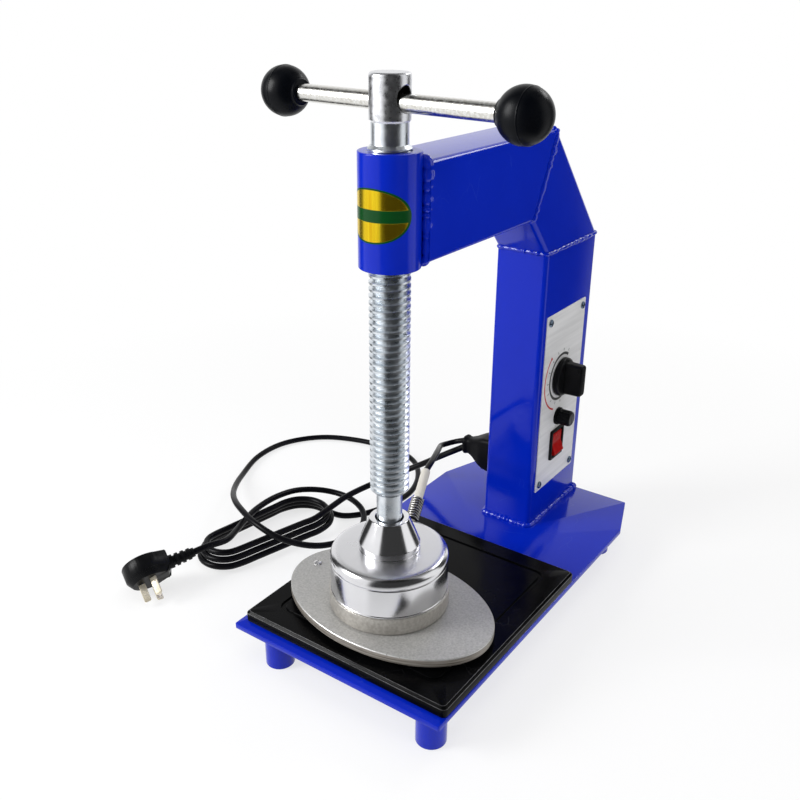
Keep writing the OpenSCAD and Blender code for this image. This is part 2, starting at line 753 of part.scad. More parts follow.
// Bend-relief spring round the lead where it leaves the cap
module lead_spring() {
  side = unit(cross(spring_axis, [0, 0, 1]));
  lift = cross(side, spring_axis);
  steps = 8;
  p = [for (i = [0 : spring_curls * steps]) let (a = 360 * i / steps)
    lead_port + spring_axis * (4 + spring_len * i / (spring_curls * steps))
      + spring_mean * (cos(a) * side + sin(a) * lift)];
  color("silver") sweep(p, spring_wire / 2, 6, spring_axis, dir_at(p, 0), dir_at(p, len(p) - 1));
}

// Swivel cup that holds the collar of the screw
module cone_cup() {
  lip_z = thrust_t + seat_gap + collar_h + part_gap;
  color("lightgray") on_axis(cup_z) difference() {
    rotate_extrude()
      polygon([[0, 0], [cup_d / 2, 0], [cup_d / 2, cup_foot_h], [cup_top_d / 2, cup_h], [0, cup_h]]);
    translate([0, 0, -over]) cylinder(d = collar_d + 2 * part_gap, h = lip_z + over);
    cylinder(d = cup_hole_d, h = cup_h + over);
  }
}

module thrust_disc() {
  color("goldenrod") on_axis(cup_z) cylinder(d = collar_d, h = thrust_t);
}

module domed_profile(d, h, r) {
  square([d / 2 - r, h]);
  square([d / 2, h - r]);
  translate([d / 2 - r, h - r]) circle(r);
}

module right_half() {
  reach = 2 * cap_d;
  intersection() {
    children();
    translate([0, -reach]) square(2 * reach);
  }
}

module heater_cap() {
  color("whitesmoke") difference() {
    on_axis(cap_z) rotate_extrude() right_half() domed_profile(cap_d, cap_h, cap_r);
    on_axis(cap_z - over) rotate_extrude() right_half()
      domed_profile(cap_d - 2 * cap_wall, cap_h - cap_wall + over, cap_r - cap_wall);
    translate(lead_port) rotate([0, acos(spring_axis.z), atan2(spring_axis.y, spring_axis.x)])
      cylinder(d = sleeve_lead_d + 2 * part_gap, h = port_len, center = true);
  }
}

spigot_rise = 5;
recess_floor = 8;
module heater_block() {
  color("darkgray") on_axis(block_z) difference() {
    union() {
      cylinder(d = block_d, h = block_h);
      cylinder(d = cap_d - 2 * cap_wall - 2 * part_gap, h = block_h + spigot_rise);
    }
    translate([0, 0, recess_floor]) cylinder(d = heater_d + 2 * part_gap, h = block_h + spigot_rise);
  }
}

module heater_disc() {
  color("peru") on_axis(block_z + recess_floor) cylinder(d = heater_d, h = heater_t);
}

module insulation_pad() {
  color("linen") on_axis(block_z + recess_floor + heater_t) cylinder(d = heater_d, h = pad_t);
}

module press_shoe() {
  color("darkgray") on_axis(shoe_z) rotate([0, 0, shoe_turn]) difference() {
    linear_extrude(shoe_t) scale([shoe_len / shoe_w, 1]) circle(d = shoe_w);
    translate([shoe_screw_x, 0, shoe_t - shoe_tap])
      cylinder(d = shoe_tap_d + 2 * seat_gap, h = shoe_tap + over);
  }
}

module shoe_screw() {
  color("silver") on_axis(shoe_z + shoe_t) rotate([0, 0, shoe_turn]) translate([shoe_screw_x, 0, 0]) {
    difference() {
      cylinder(d = panel_screw_d, h = screw_head_h);
      translate([-panel_screw_d, -slot_w / 2, screw_head_h / 2])
        cube([2 * panel_screw_d, slot_w, screw_head_h]);
    }
    translate([0, 0, seat_gap - shoe_tap]) cylinder(d = shoe_tap_d, h = shoe_tap);
  }
}

chamfer = (screw_d - shank_d) / 2;
module lead_screw() {
  color("lightsteelblue") on_axis(0) {
    translate([0, 0, collar_z]) cylinder(d = collar_d, h = collar_h);
    translate([0, 0, collar_z]) cylinder(d = neck_d, h = thread_z - collar_z + over);
    translate([0, 0, thread_z]) cylinder(d1 = screw_d - 2 * chamfer, d2 = screw_d, h = chamfer);
    translate([0, 0, thread_z + chamfer]) cylinder(d = screw_d, h = thread_len - 2 * chamfer);
    translate([0, 0, thread_top - chamfer]) cylinder(d1 = screw_d, d2 = screw_d - 2 * chamfer, h = chamfer);
    translate([0, 0, thread_top - chamfer]) cylinder(d = shank_d, h = shank_len + chamfer);
    translate([0, 0, head_z - over]) cylinder(d = spigot_d, h = spigot_h + over);
  }
}

module screw_head() {
  round_r = 3;
  color("lightgray") difference() {
    on_axis(head_z) rotate_extrude() right_half() domed_profile(head_d, head_h, round_r);
    on_axis(head_z - over) cylinder(d = spigot_d + 2 * run_gap, h = spigot_h + over + seat_gap);
    on_axis(hole_z) rotate([0, 0, bar_turn]) rotate([0, 90, 0])
      cylinder(d = cross_hole_d, h = 2 * head_d, center = true);
  }
}

module on_bar(x) { on_axis(bar_z) rotate([0, 0, bar_turn]) translate([x + bar_shift, 0, 0]) children(); }
bar_len = ball_span + 2 * ball_socket - ball_d;

module handle_bar() {
  color("lightgray") on_bar(0) rotate([0, 90, 0])
    cylinder(d = bar_d, h = bar_len - 2 * seat_gap, center = true);
}

// Ball with a flat collar round its socket
module ball_knob(side) {
  flat = ball_d / 2 - 1;
  color("#111113") on_bar(side * ball_span / 2) rotate([0, -90 * side, 0]) difference() {
    intersection() {
      sphere(d = ball_d);
      translate([-ball_d, -ball_d, -ball_d]) cube([2 * ball_d, 2 * ball_d, ball_d + flat]);
    }
    translate([0, 0, ball_d / 2 - ball_socket]) cylinder(d = bar_d + 2 * run_gap, h = ball_d);
  }
}

base_plate();
foot(foot_x[0], foot_y[0]);  // foot_front_left
foot(foot_x[1], foot_y[0]);  // foot_front_right
foot(foot_x[0], foot_y[1]);  // foot_rear_left
foot(foot_x[2], foot_y[1]);  // foot_rear_right
column();
elbow();
arm();
sleeve();
lower_plate();
plate_bolt(bolt_places[0]);  // plate_bolt_1
plate_bolt(bolt_places[1]);  // plate_bolt_2
plate_bolt(bolt_places[2]);  // plate_bolt_3
plate_bolt(bolt_places[3]);  // plate_bolt_4
control_panel();
panel_screw(screw_places[0]);  // panel_screw_1
panel_screw(screw_places[1]);  // panel_screw_2
panel_screw(screw_places[2]);  // panel_screw_3
panel_screw(screw_places[3]);  // panel_screw_4
timer_body();
timer_spindle();
timer_knob();
fuse_holder();
fuse_link();
fuse_cap();
switch_housing();
switch_rocker();
cable_boot();
power_cord_lead();
power_cord_hank();
power_cord_loop();
plug_body();
plug_pin(0);  // plug_pin_1
plug_pin(1);  // plug_pin_2
plug_pin(2);  // plug_pin_3
heater_lead_cable();
heater_lead_sleeve();
lead_spring();
cone_cup();
thrust_disc();
heater_cap();
insulation_pad();
heater_disc();
heater_block();
press_shoe();
shoe_screw();
lead_screw();
screw_head();
handle_bar();
ball_knob(-1);  // ball_knob_left
ball_knob(1);  // ball_knob_right
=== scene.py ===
"""Bench tire vulcanizer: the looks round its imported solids, in millimetres until a mesh is made."""

import bpy
import numpy as np
from mathutils import Matrix, Vector


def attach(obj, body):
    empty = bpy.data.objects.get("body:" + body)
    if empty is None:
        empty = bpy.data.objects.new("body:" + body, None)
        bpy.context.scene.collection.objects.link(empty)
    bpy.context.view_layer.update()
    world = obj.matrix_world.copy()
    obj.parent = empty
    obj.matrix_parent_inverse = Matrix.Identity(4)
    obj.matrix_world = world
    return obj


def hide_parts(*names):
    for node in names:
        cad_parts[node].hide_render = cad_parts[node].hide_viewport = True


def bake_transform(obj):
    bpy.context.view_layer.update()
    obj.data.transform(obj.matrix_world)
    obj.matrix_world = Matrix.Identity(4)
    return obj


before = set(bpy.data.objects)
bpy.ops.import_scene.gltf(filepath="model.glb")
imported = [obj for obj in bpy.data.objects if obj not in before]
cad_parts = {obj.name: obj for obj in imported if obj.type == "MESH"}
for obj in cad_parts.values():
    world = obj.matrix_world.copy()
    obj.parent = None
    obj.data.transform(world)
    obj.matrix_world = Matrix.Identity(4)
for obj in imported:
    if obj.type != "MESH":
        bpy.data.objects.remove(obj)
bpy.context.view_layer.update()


# Base plate
# A 5 mm steel plate, sheared square at the front and clipped at both rear corners, painted with the frame.
# Its edges are only broken, so they catch a thin line of light.
def unit(vectors):
    """Vectors divided by their lengths."""
    vectors = np.asarray(vectors, float)
    return vectors / np.linalg.norm(vectors, axis=-1, keepdims=True)


def corner_arcs(corners, radius, steps=6):
    """Swaps each corner of a convex anticlockwise polygon for an arc; gives points and outward normals."""
    p = np.asarray(corners, float)
    back, on = p - np.roll(p, 1, 0), np.roll(p, -1, 0) - p
    n0, n1 = [unit(np.stack([edge[:, 1], -edge[:, 0]], 1)) for edge in (back, on)]
    dot = (n0 * n1).sum(1)
    turn = np.arctan2(n0[:, 0] * n1[:, 1] - n0[:, 1] * n1[:, 0], dot)
    angle = np.arctan2(n0[:, 1], n0[:, 0])[:, None] + turn[:, None] * np.linspace(0, 1, steps + 1)
    normal = np.stack([np.cos(angle), np.sin(angle)], -1)
    centre = p - radius * (n0 + n1) / (1 + dot)[:, None]
    return (centre[:, None] + radius * normal).reshape(-1, 2), normal.reshape(-1, 2)


def levels(outline, inset, height):
    """Stacks an outline: copy k is drawn in along its normals by inset[k] and lies at height[k]."""
    points, normal = outline
    flat = points[None] - np.asarray(inset, float)[:, None, None] * normal[None]
    tall = np.broadcast_to(np.asarray(height, float)[:, None, None], flat.shape[:2] + (1,))
    return np.concatenate([flat, tall], -1)


def grid(points, wrap=True, start=True, end=True):
    """Faces rows of points, less faces of no area; wrapped rows close, and a fan shuts each wanted end."""
    n, m = points.shape[:2]
    run = np.linalg.norm(np.diff(points, axis=0), axis=-1).mean(1)
    along = np.concatenate([[0], np.cumsum(run)])
    last = m if wrap else m - 1
    i, j = np.meshgrid(np.arange(n - 1), np.arange(last), indexing="ij")
    k = (j + 1) % m
    faces = np.stack([i * m + j, i * m + k, (i + 1) * m + k, (i + 1) * m + j], -1).reshape(-1, 4)
    u, w = j / last, (j + 1) / last
    uv = np.stack([u, along[i], w, along[i], w, along[i + 1], u, along[i + 1]], -1).reshape(-1, 2)
    verts = points.reshape(-1, 3)
    slant = verts[faces[:, 2]] - verts[faces[:, 0]], verts[faces[:, 3]] - verts[faces[:, 1]]
    real = np.linalg.norm(np.cross(*slant), axis=1) > 1e-7
    faces, uv = faces[real].tolist(), uv[np.repeat(real, 4)]
    c = np.arange(m)
    for wanted, row, pair in ((start, 0, ((c + 1) % m, c)), (end, n - 1, (c, (c + 1) % m))):
        if wanted:
            hub = len(verts)
            verts = np.concatenate([verts, points[row].mean(0)[None]])
            faces += np.stack([row * m + pair[0], row * m + pair[1], np.full(m, hub)], 1).tolist()
            uv = np.concatenate([uv, np.zeros((3 * m, 2))])
    return verts, faces, uv


def add(name, data):
    """Puts a mesh, a lamp or a lens into the scene as an object at the origin."""
    made = bpy.data.objects.new(name, data)
    bpy.context.scene.collection.objects.link(made)
    return made


def piece(name, body, slot, look, *parts, stands_for=(), sharp=38, rides=True):
    """Joins faced grids into one mesh in metres, smooth below the sharp angle, and puts it on its body."""
    at = np.cumsum([0] + [len(v) for v, _, _ in parts])
    faces = [[a + off for a in f] for off, (_, fs, _) in zip(at, parts) for f in fs]
    mesh = bpy.data.meshes.new(name)
    mesh.from_pydata((np.concatenate([v for v, _, _ in parts]) * 0.001).tolist(), [], faces)
    mesh.uv_layers.new(name="UVMap").data.foreach_set("uv", np.concatenate([t for _, _, t in parts]).ravel())
    mesh.polygons.foreach_set("use_smooth", np.ones(len(faces), bool))
    mesh.set_sharp_from_angle(angle=np.radians(sharp))
    mesh.materials.append(look)
    made = add(name, mesh)
    if rides:
        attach(made, body)
    if stands_for:
        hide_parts(*stands_for)
    return made


def skin(solid, body, slot, look, *parts, sharp=38):
    """The piece that stands for one solid and is named after it."""
    return piece(solid + "_skin", body, slot, look, *parts, stands_for=[solid], sharp=sharp)


def feed(tree, sockets, inputs):
    """Gives each named socket its value, or a link where that is another node's output."""
    for key, value in inputs.items():
        if isinstance(value, bpy.types.NodeSocket):
            tree.links.new(value, sockets[key])
        else:
            sockets[key].default_value = value


def node(tree, kind, inputs=None, **settings):
    """Adds a shader node, sets and feeds it, and gives its outputs."""
    made = tree.nodes.new("ShaderNode" + kind)
    for key, value in settings.items():
        setattr(made, key, value)
    feed(tree, made.inputs, inputs or {})
    return made.outputs


def ramp(tree, value, low, high, first=0.0, last=1.0, **settings):
    """A value that goes from first to last, and no further, while another goes from low to high."""
    ends = {"From Min": low, "From Max": high, "To Min": first, "To Max": last}
    return node(tree, "MapRange", {"Value": value, **ends}, **settings)[0]


def calc(tree, operation, a, b):
    """The sum, product or other operation on two values."""
    return node(tree, "Math", {0: a, 1: b}, operation=operation)[0]


def colour_mix(tree, share, a, b):
    """A colour that goes from a to b as the share goes from 0 to 1."""
    return node(tree, "Mix", {0: share, 6: a, 7: b}, data_type="RGBA")[2]


def effect(name, inputs, outputs):
    """Starts a shader node group with named sockets and gives its tree, its inputs and its outputs."""
    tree = bpy.data.node_groups.new(name, "ShaderNodeTree")
    for label, kind, value in inputs:
        socket = tree.interface.new_socket(label, in_out="INPUT", socket_type="NodeSocket" + kind)
        if value is not None:
            socket.default_value = value
    for label, kind in outputs:
        tree.interface.new_socket(label, in_out="OUTPUT", socket_type="NodeSocket" + kind)
    return tree, tree.nodes.new("NodeGroupInput").outputs, tree.nodes.new("NodeGroupOutput").inputs


def surface_grain():
    """Broad patches between two colours and two roughnesses, and a fine noise for the height."""
    tree, given, out = effect(
        "surface_grain",
        [("Vector", "Vector", None), ("Scale", "Float", 20.0), ("Fine", "Float", 600.0),
         ("Dark", "Color", (0, 0, 0, 1)), ("Light", "Color", (1, 1, 1, 1)),
         ("Smooth", "Float", 0.2), ("Rough", "Float", 0.4)],
        [("Colour", "Color"), ("Roughness", "Float"), ("Height", "Float")])
    broad = node(tree, "TexNoise", {"Vector": given["Vector"], "Scale": given["Scale"], "Detail": 5.0})
    fine = node(tree, "TexNoise", {"Vector": given["Vector"], "Scale": given["Fine"], "Detail": 3.0})
    patches = ramp(tree, broad[0], 0.32, 0.68)
    feed(tree, out, {"Colour": colour_mix(tree, patches, given["Dark"], given["Light"]),
                     "Roughness": ramp(tree, patches, 0.0, 1.0, given["Smooth"], given["Rough"]),
                     "Height": fine[0]})
    return tree


grain_effect = surface_grain()


def scuff_marks():
    """A mask of hair scratches: bent cell borders, kept only where two noises are high."""
    tree, given, out = effect("scuff_marks", [("Vector", "Vector", None)], [("Mask", "Float")])
    bend = node(tree, "TexNoise", {"Vector": given["Vector"], "Scale": 16.0})
    bent = node(tree, "VectorMath", {0: bend[1], 1: (0.09, 0.09, 0.09), 2: given["Vector"]},
                operation="MULTIPLY_ADD")
    cells = node(tree, "TexVoronoi", {"Vector": bent[0], "Scale": 34.0}, feature="DISTANCE_TO_EDGE")
    mask = ramp(tree, cells[0], 0.004, 0.012, 1.0, 0.0)
    for scale, low, high in ((9.0, 0.56, 0.66), (70.0, 0.44, 0.56)):
        patch = node(tree, "TexNoise", {"Vector": given["Vector"], "Scale": scale, "Detail": 1.0})
        mask = calc(tree, "MULTIPLY", mask, ramp(tree, patch[0], low, high))
    feed(tree, out, {"Mask": mask})
    return tree


scuff_effect = scuff_marks()


def new_look(name):
    """Starts a material with nodes and gives it, its tree and the sockets of its shader."""
    made = bpy.data.materials.new(name)
    made.use_nodes = True
    return made, made.node_tree, made.node_tree.nodes["Principled BSDF"].inputs


def finish(name, dark, light, rough, scale, fine=900.0, bump=0.1, depth=0.0002, metal=0.0, gloss=0.5,
           stretch=(1, 1, 1), scuff=None):
    """A finish with the grain effect on its colour, roughness and height, and perhaps scratches."""
    made, tree, shader = new_look(name)
    place = node(tree, "TexCoord")["Object"]
    if stretch != (1, 1, 1):
        place = node(tree, "Mapping", {"Vector": place, "Scale": stretch})[0]
    grain = node(tree, "Group",
                 {"Vector": place, "Scale": scale, "Fine": fine, "Dark": (*dark, 1), "Light": (*light, 1),
                  "Smooth": rough[0], "Rough": rough[1]}, node_tree=grain_effect)
    colour = grain["Colour"]
    if scuff:
        marks = node(tree, "Group", {"Vector": place}, node_tree=scuff_effect)
        colour = colour_mix(tree, marks["Mask"], colour, (*scuff, 1))
    lift = node(tree, "Bump", {"Height": grain["Height"], "Strength": bump, "Distance": depth})
    feed(tree, shader, {"Base Color": colour, "Roughness": grain["Roughness"], "Normal": lift[0],
                        "Metallic": metal, "Specular IOR Level": gloss})
    return made


blue_dark, blue_light = (0.0006, 0.0148, 0.40), (0.0010, 0.0185, 0.46)
blue_paint = finish("blue_gloss_paint", blue_dark, blue_light, (0.08, 0.14), 9.0, fine=420.0, bump=0.15,
                    depth=0.0003, gloss=0.24, scuff=(0.012, 0.036, 0.47))
half_w, half_l, base_low, base_top = 100, 186, 30, 35
clip_w, clip_y = 83, 134
base_edge = corner_arcs([(-half_w, -half_l), (half_w, -half_l), (half_w, clip_y), (clip_w, half_l),
                         (-clip_w, half_l), (-half_w, clip_y)], 1.5, 4)
skin("base_plate", "frame", "blue_paint", blue_paint,
     grid(levels(base_edge, [0.7, 0.2, 0, 0, 0.2, 0.7],
                 [base_low, base_low + 0.2, base_low + 0.7, base_top - 0.7, base_top - 0.2, base_top])))


# Feet
# Four lengths of 24 mm bar stand under the plate, welded from below and painted with it.
# The left ones and the rear right one stand further in than the front right one.
def soften(points, reach, steps=5):
    """Swaps each inner corner of an open profile for a bend that begins and ends that far from the corner."""
    p = np.asarray(points, float)
    t = np.linspace(0, 1, steps + 1)[:, None]
    out = [p[:1]]
    for a, b, c, r in zip(p[:-2], p[1:-1], p[2:], np.broadcast_to(reach, len(p) - 2)):
        u, v = b + unit(a - b) * r, b + unit(c - b) * r
        out.append((1 - t) ** 2 * u + 2 * t * (1 - t) * b + t ** 2 * v)
    return np.concatenate(out + [p[-1:]])


def axes_for(along):
    """Two directions square to a third, so that the three are right-handed."""
    along = unit(along)
    first = unit(np.cross([0, 0, 1], along)) if abs(along[2]) < 0.99 else np.array([1.0, 0, 0])
    return first, np.cross(along, first), along


def full_turn(count):
    """Even angles round a circle."""
    return np.arange(count) * 2 * np.pi / count


def turned(profile, origin, along=(0, 0, 1), sides=72):
    """Turns a profile of radius r and height h: origin + r cos t first + r sin t second + h along."""
    p = np.asarray(profile, float)
    t = full_turn(sides)
    first, second, axis = axes_for(along)
    ring = np.cos(t)[:, None] * first + np.sin(t)[:, None] * second
    return np.asarray(origin, float) + p[:, 0, None, None] * ring[None] + p[:, 1, None, None] * axis


foot_r = 12
foot_shape = soften([(foot_r - 1.4, 0), (foot_r, 0), (foot_r, 26.5), (foot_r + 1.4, 29.8)], [1.2, 2.5])
for foot, x, y in (("front_left", -68, -168), ("front_right", 82, -168), ("rear_left", -68, 141),
                   ("rear_right", 74, 141)):
    skin("foot_" + foot, "frame", "blue_paint", blue_paint, grid(turned(foot_shape, (x, y, 0))))


# Column, elbow and arm
# Three lengths of rectangular tube, 50 mm wide with tight corners, cut to mitres and welded into a C.
# The arm's front end is cut round to fit the sleeve.
tube_w, tube_r = 50, 4.5
column_y, column_d, joint_z = 136, 100, 305
arm_low, arm_high, screw_y = 338, 408, -108
sleeve_r = 22
cope_r = sleeve_r + 0.1
lean = np.radians(43)
mitre = np.array([[column_y - column_d / 2 - (arm_low - joint_z) * np.tan(lean), arm_low],
                  [column_y + column_d / 2 - (arm_high - joint_z) * np.tan(lean), arm_high]])
mitre_normal = np.array([mitre[1, 1] - mitre[0, 1], mitre[0, 0] - mitre[1, 0]])


def box_ring(wide, deep, radius, steps=8):
    """The outline of a rounded rectangle round the origin."""
    a, b = wide / 2, deep / 2
    return corner_arcs([(-a, -b), (a, -b), (a, b), (-a, b)], radius, steps)


section = box_ring(tube_w, column_d, tube_r)
upright = levels(section, [0, 0], [base_top, joint_z]) + (0, column_y, 0)
skin("column", "frame", "blue_paint", blue_paint, grid(upright))


def mitred(outline, origin, deep_axis, along, low_plane, high_plane):
    """Carries a section along a straight line; each of its points stops where it meets the two end planes."""
    along, deep_axis = np.asarray(along, float), np.asarray(deep_axis, float)
    start = np.asarray(origin, float) + outline[0][:, :1] * [1.0, 0, 0] + outline[0][:, 1:] * deep_axis
    stops = []
    for point, normal in (low_plane, high_plane):
        point, normal = np.asarray(point, float), np.asarray(normal, float)
        stops.append(start + (((point - start) @ normal) / (along @ normal))[:, None] * along)
    return np.stack(stops)


elbow = mitred(box_ring(tube_w, column_d * np.cos(lean), tube_r), (0, column_y, joint_z),
               (0, np.cos(lean), np.sin(lean)), (0, -np.sin(lean), np.cos(lean)),
               ((0, 0, joint_z), (0, 0, 1)), ((0, *mitre[0]), (0, *mitre_normal)))
skin("elbow", "frame", "blue_paint", blue_paint, grid(elbow))


def xyz(x, y, z):
    """Points from their three coordinates, spread over one grid."""
    return np.stack(np.broadcast_arrays(x, y, z), -1)


arm_points = box_ring(tube_w, arm_high - arm_low, tube_r)[0]
arm_x = arm_points[:, 0]
mid_z = (arm_low + arm_high) / 2
arm_z = mid_z - arm_points[:, 1]
front_y = screw_y + np.maximum(12, np.sqrt(np.maximum(0, cope_r ** 2 - arm_x ** 2)))
rear_y = mitre[0, 0] + (arm_z - arm_low) * (mitre[1, 0] - mitre[0, 0]) / (arm_high - arm_low)
front_ring = xyz(arm_x, front_y, arm_z)
rear_ring = xyz(arm_x, rear_y, arm_z)
inner = xyz(arm_x * 0.88, front_y, mid_z + (arm_z - mid_z) * 0.914)
skin("arm", "frame", "blue_paint", blue_paint,
     grid(np.stack([inner + (0, 6, 0), inner, front_ring, rear_ring])))


# Threaded sleeve
# A thick tube welded into the end of the arm; the screw runs in its thread.
# Its rims are faced off and the paint stops at the bore.
def on_screw(profile, sides=72):
    """Turns a profile about the axis of the screw."""
    return turned(profile, (0, screw_y, 0), sides=sides)


bore_r, sleeve_low, sleeve_high, label_z = 15.1, 335, 414, 374
sleeve_shape = soften([(bore_r, label_z), (bore_r, sleeve_low), (sleeve_r, sleeve_low),
                       (sleeve_r, sleeve_high), (bore_r, sleeve_high), (bore_r, label_z)],
                      [0.3, 0.8, 0.9, 0.4])
sleeve_paint = finish("sleeve_gloss_paint", blue_dark, blue_light, (0.13, 0.20), 9.0, fine=420.0, bump=0.09,
                      depth=0.0003, gloss=0.24)
skin("sleeve", "frame", "blue_paint", sleeve_paint, grid(on_screw(sleeve_shape, 96), start=False, end=False))


# Weld beads
# Runs of weld metal, humped unevenly where each drop froze, under the same paint.
# Full beads close the column's foot and the arm's end; the beads on the two mitre seams are thinner.
def tube(path, radius, sides=12, ref=(0, 0, 1), loop=False):
    """Carries a circle along a path: centre + r cos t side + r sin t lift, side square to path and ref."""
    path = np.asarray(path, float)
    ahead = np.gradient(path, axis=0)
    if loop:
        ahead[0] = ahead[-1] = path[1] - path[-2]
    ahead = unit(ahead)
    side = unit(np.cross(ahead, ref))
    lift = np.cross(ahead, side)
    t = full_turn(sides)[None, :, None]
    size = np.broadcast_to(radius, len(path))[:, None, None]
    return path[:, None] + size * (np.cos(t) * side[:, None] + np.sin(t) * lift[:, None])


def steps_of(path):
    """The distances from each point of a path to the next."""
    return np.linalg.norm(np.diff(path, axis=0), axis=1)


def spaced(path, step):
    """Points at an even distance along a path of straight runs, and how far along it each one lies."""
    s = np.concatenate([[0], np.cumsum(steps_of(path))])
    at = np.linspace(0, s[-1], max(2, int(round(s[-1] / step)) + 1))
    return np.stack([np.interp(at, s, path[:, k]) for k in range(3)], 1), at


weld_paint = finish("weld_gloss_paint", blue_dark, blue_light, (0.05, 0.10), 9.0, fine=420.0, bump=0.05,
                    depth=0.0003, gloss=0.7)


def bead(name, ring, radius, ripple, drops, ref=(0, 0, 1), seed=1):
    """A weld bead round a ring: a tube with a hump for each drop, of uneven length and height, and swells."""
    points, at = spaced(np.concatenate([ring, ring[:1]]), 0.6)
    rng = np.random.default_rng(seed)
    ends = np.cumsum(np.concatenate([[0], rng.uniform(*drops, int(at[-1] / drops[0]) + 2)]))
    tall = rng.uniform(0.3, 2.0, len(ends))
    drop = np.searchsorted(ends, at, side="right") - 1
    humps = tall[drop] * np.sin(np.pi * (at - ends[drop]) / (ends[drop + 1] - ends[drop]))
    swell_length = 17
    marks = np.arange(0, at[-1] + 2 * swell_length, swell_length)
    swells = np.interp(at, marks, rng.uniform(-0.9, 0.9, len(marks)))
    fade = np.clip(np.minimum(at, at[-1] - at) / 6, 0, 1)
    size = radius * (1 + ripple * (humps + swells) * fade)
    piece(name, "frame", "blue_paint", weld_paint,
          grid(tube(points, size, 14, ref, True), start=False, end=False), sharp=60)


foot_ring = levels(section, [-0.6], [base_top + 0.7])[0] + (0, column_y, 0)
bead("foot_bead", foot_ring, 2.3, 0.30, (2.4, 7.5), seed=3)
bead("joint_bead", upright[1] + (0, 0, -0.2), 1.2, 0.40, (3, 11), seed=4)
bead("mitre_bead", rear_ring, 1.5, 0.40, (3, 11), ref=(0, 0.9, 0.4), seed=5)
weld_x = 0.85 * arm_x
weld_y = screw_y + np.maximum(12.8, np.sqrt(cope_r ** 2 - weld_x ** 2)) + 0.8
weld_ring = xyz(weld_x, weld_y, mid_z + (arm_z - mid_z) * 0.985)
bead("sleeve_bead", weld_ring, 2.8, 0.30, (3.5, 12), ref=(0, 1, 0), seed=6)


# Foil sticker
# A plain oval of gold foil on the front of the sleeve, with a green rim and a green band across it.
# It carries no words; it is a skin 0.08 mm proud of the paint.
gold_foil, tree, shader = new_look("gold_foil")
spot = node(tree, "SeparateXYZ", {"Vector": node(tree, "UVMap")[0]})
band = calc(tree, "MULTIPLY", ramp(tree, spot["Y"], 0.385, 0.395), ramp(tree, spot["Y"], 0.625, 0.615))
ink = calc(tree, "MAXIMUM", band, ramp(tree, spot["X"], 0.925, 0.935))
place = node(tree, "TexCoord")["Object"]
shimmer = node(tree, "TexNoise", {"Vector": place, "Scale": 900.0, "Detail": 3.0})
drawn_out = node(tree, "Mapping", {"Vector": place, "Scale": (1, 1, 0.03)})
streak = node(tree, "TexNoise", {"Vector": drawn_out[0], "Scale": 420.0})
foil = colour_mix(tree, streak[0], (0.62, 0.33, 0.006, 1), (1.0, 0.82, 0.03, 1))
crease = node(tree, "Bump", {"Height": shimmer[0], "Strength": 0.10, "Distance": 0.0002})
feed(tree, shader, {"Base Color": colour_mix(tree, ink, foil, (0.002, 0.055, 0.009, 1)), "Roughness": 0.24,
                    "Metallic": ramp(tree, ink, 0.0, 1.0, 0.97, 0.0), "Normal": crease[0],
                    "Specular IOR Level": 0.2})
label_r, label_w, label_h = sleeve_r + 0.08, 29.5, 18.5
share = np.linspace(0, 1, 31)[:, None]
t = full_turn(72)
turn_at = -np.pi / 2 + share * np.cos(t) * label_w / sleeve_r
oval = xyz(label_r * np.cos(turn_at), screw_y + label_r * np.sin(turn_at),
           label_z + label_h * share * np.sin(t))
verts, faces, _ = grid(oval[::-1], start=False, end=False)
unset = np.zeros((len(faces) * 4, 2))
sticker = piece("sleeve_sticker", "frame", "blue_paint", gold_foil, (verts, faces, unset))
flat = np.stack([np.broadcast_to(share, (31, 72)), 0.5 + 0.5 * share * np.sin(t)], -1)[::-1].reshape(-1, 2)
loops = np.zeros(len(sticker.data.loops), int)
sticker.data.loops.foreach_get("vertex_index", loops)
sticker.data.uv_layers[0].data.foreach_set("uv", flat[loops].ravel())


# Lower plate
# The black plate that the tire is pressed against: 9.5 mm steel with a bevel and a groove milled round it.
# It is bolted from below, and two thin strips along the edges of the bevel are painted lighter: painted
# highlights.
def stacked(rows, steps=8):
    """Stacks rounded rectangles, each given by its width, depth, corner radius and height."""
    return np.concatenate([levels(box_ring(w, d, r, steps), [0], [z]) for w, d, r, z in rows])


def coat_faces(made, *coats):
    """Gives stretches of a piece's faces, each from a first one to before a last, coats of their own."""
    which = np.zeros(len(made.data.polygons), np.int32)
    for k, (look, *stretches) in enumerate(coats):
        made.data.materials.append(look)
        for first, last in stretches:
            which[first:last] = k + 1
    made.data.polygons.foreach_set("material_index", which)


black_paint = finish("black_plate_paint", (0.0010, 0.0011, 0.0013), (0.003, 0.003, 0.0034), (0.14, 0.30),
                     30.0, bump=0.08, depth=0.0003, gloss=0.06, scuff=(0.014, 0.014, 0.016))
bevel_painted_highlight = finish("bevel_painted_highlight", (0.03, 0.03, 0.032), (0.13, 0.13, 0.135), (0.22, 0.36), 60.0)
plate_w, plate_l, plate_top = 195, 209, 44.5
plate_rows = [(1.2, 3.5, base_top), (0, 4, base_top + 0.6), (0, 4, 42.2), (0.4, 4, 42.7), (3.6, 3.4, 44.3),
              (4.4, 3.2, plate_top), (35.4, 10.2, plate_top), (36.2, 10, 44.2), (36.8, 9.8, 43.3),
              (42.4, 8.4, 43.3), (42.8, 8.2, 44.2), (43.6, 8, plate_top)]
plate = stacked([(plate_w - less, plate_l - less, r, z) for less, r, z in plate_rows])
lower_plate = skin("lower_plate", "frame", "black_paint", black_paint, grid(plate + (2, -73.5, 0)), sharp=25)
ring = plate.shape[1]
# Painted highlights: the two strips along the bevel's edges get a lighter paint.
coat_faces(lower_plate, (bevel_painted_highlight, (2 * ring, 3 * ring), (4 * ring, 5 * ring)))


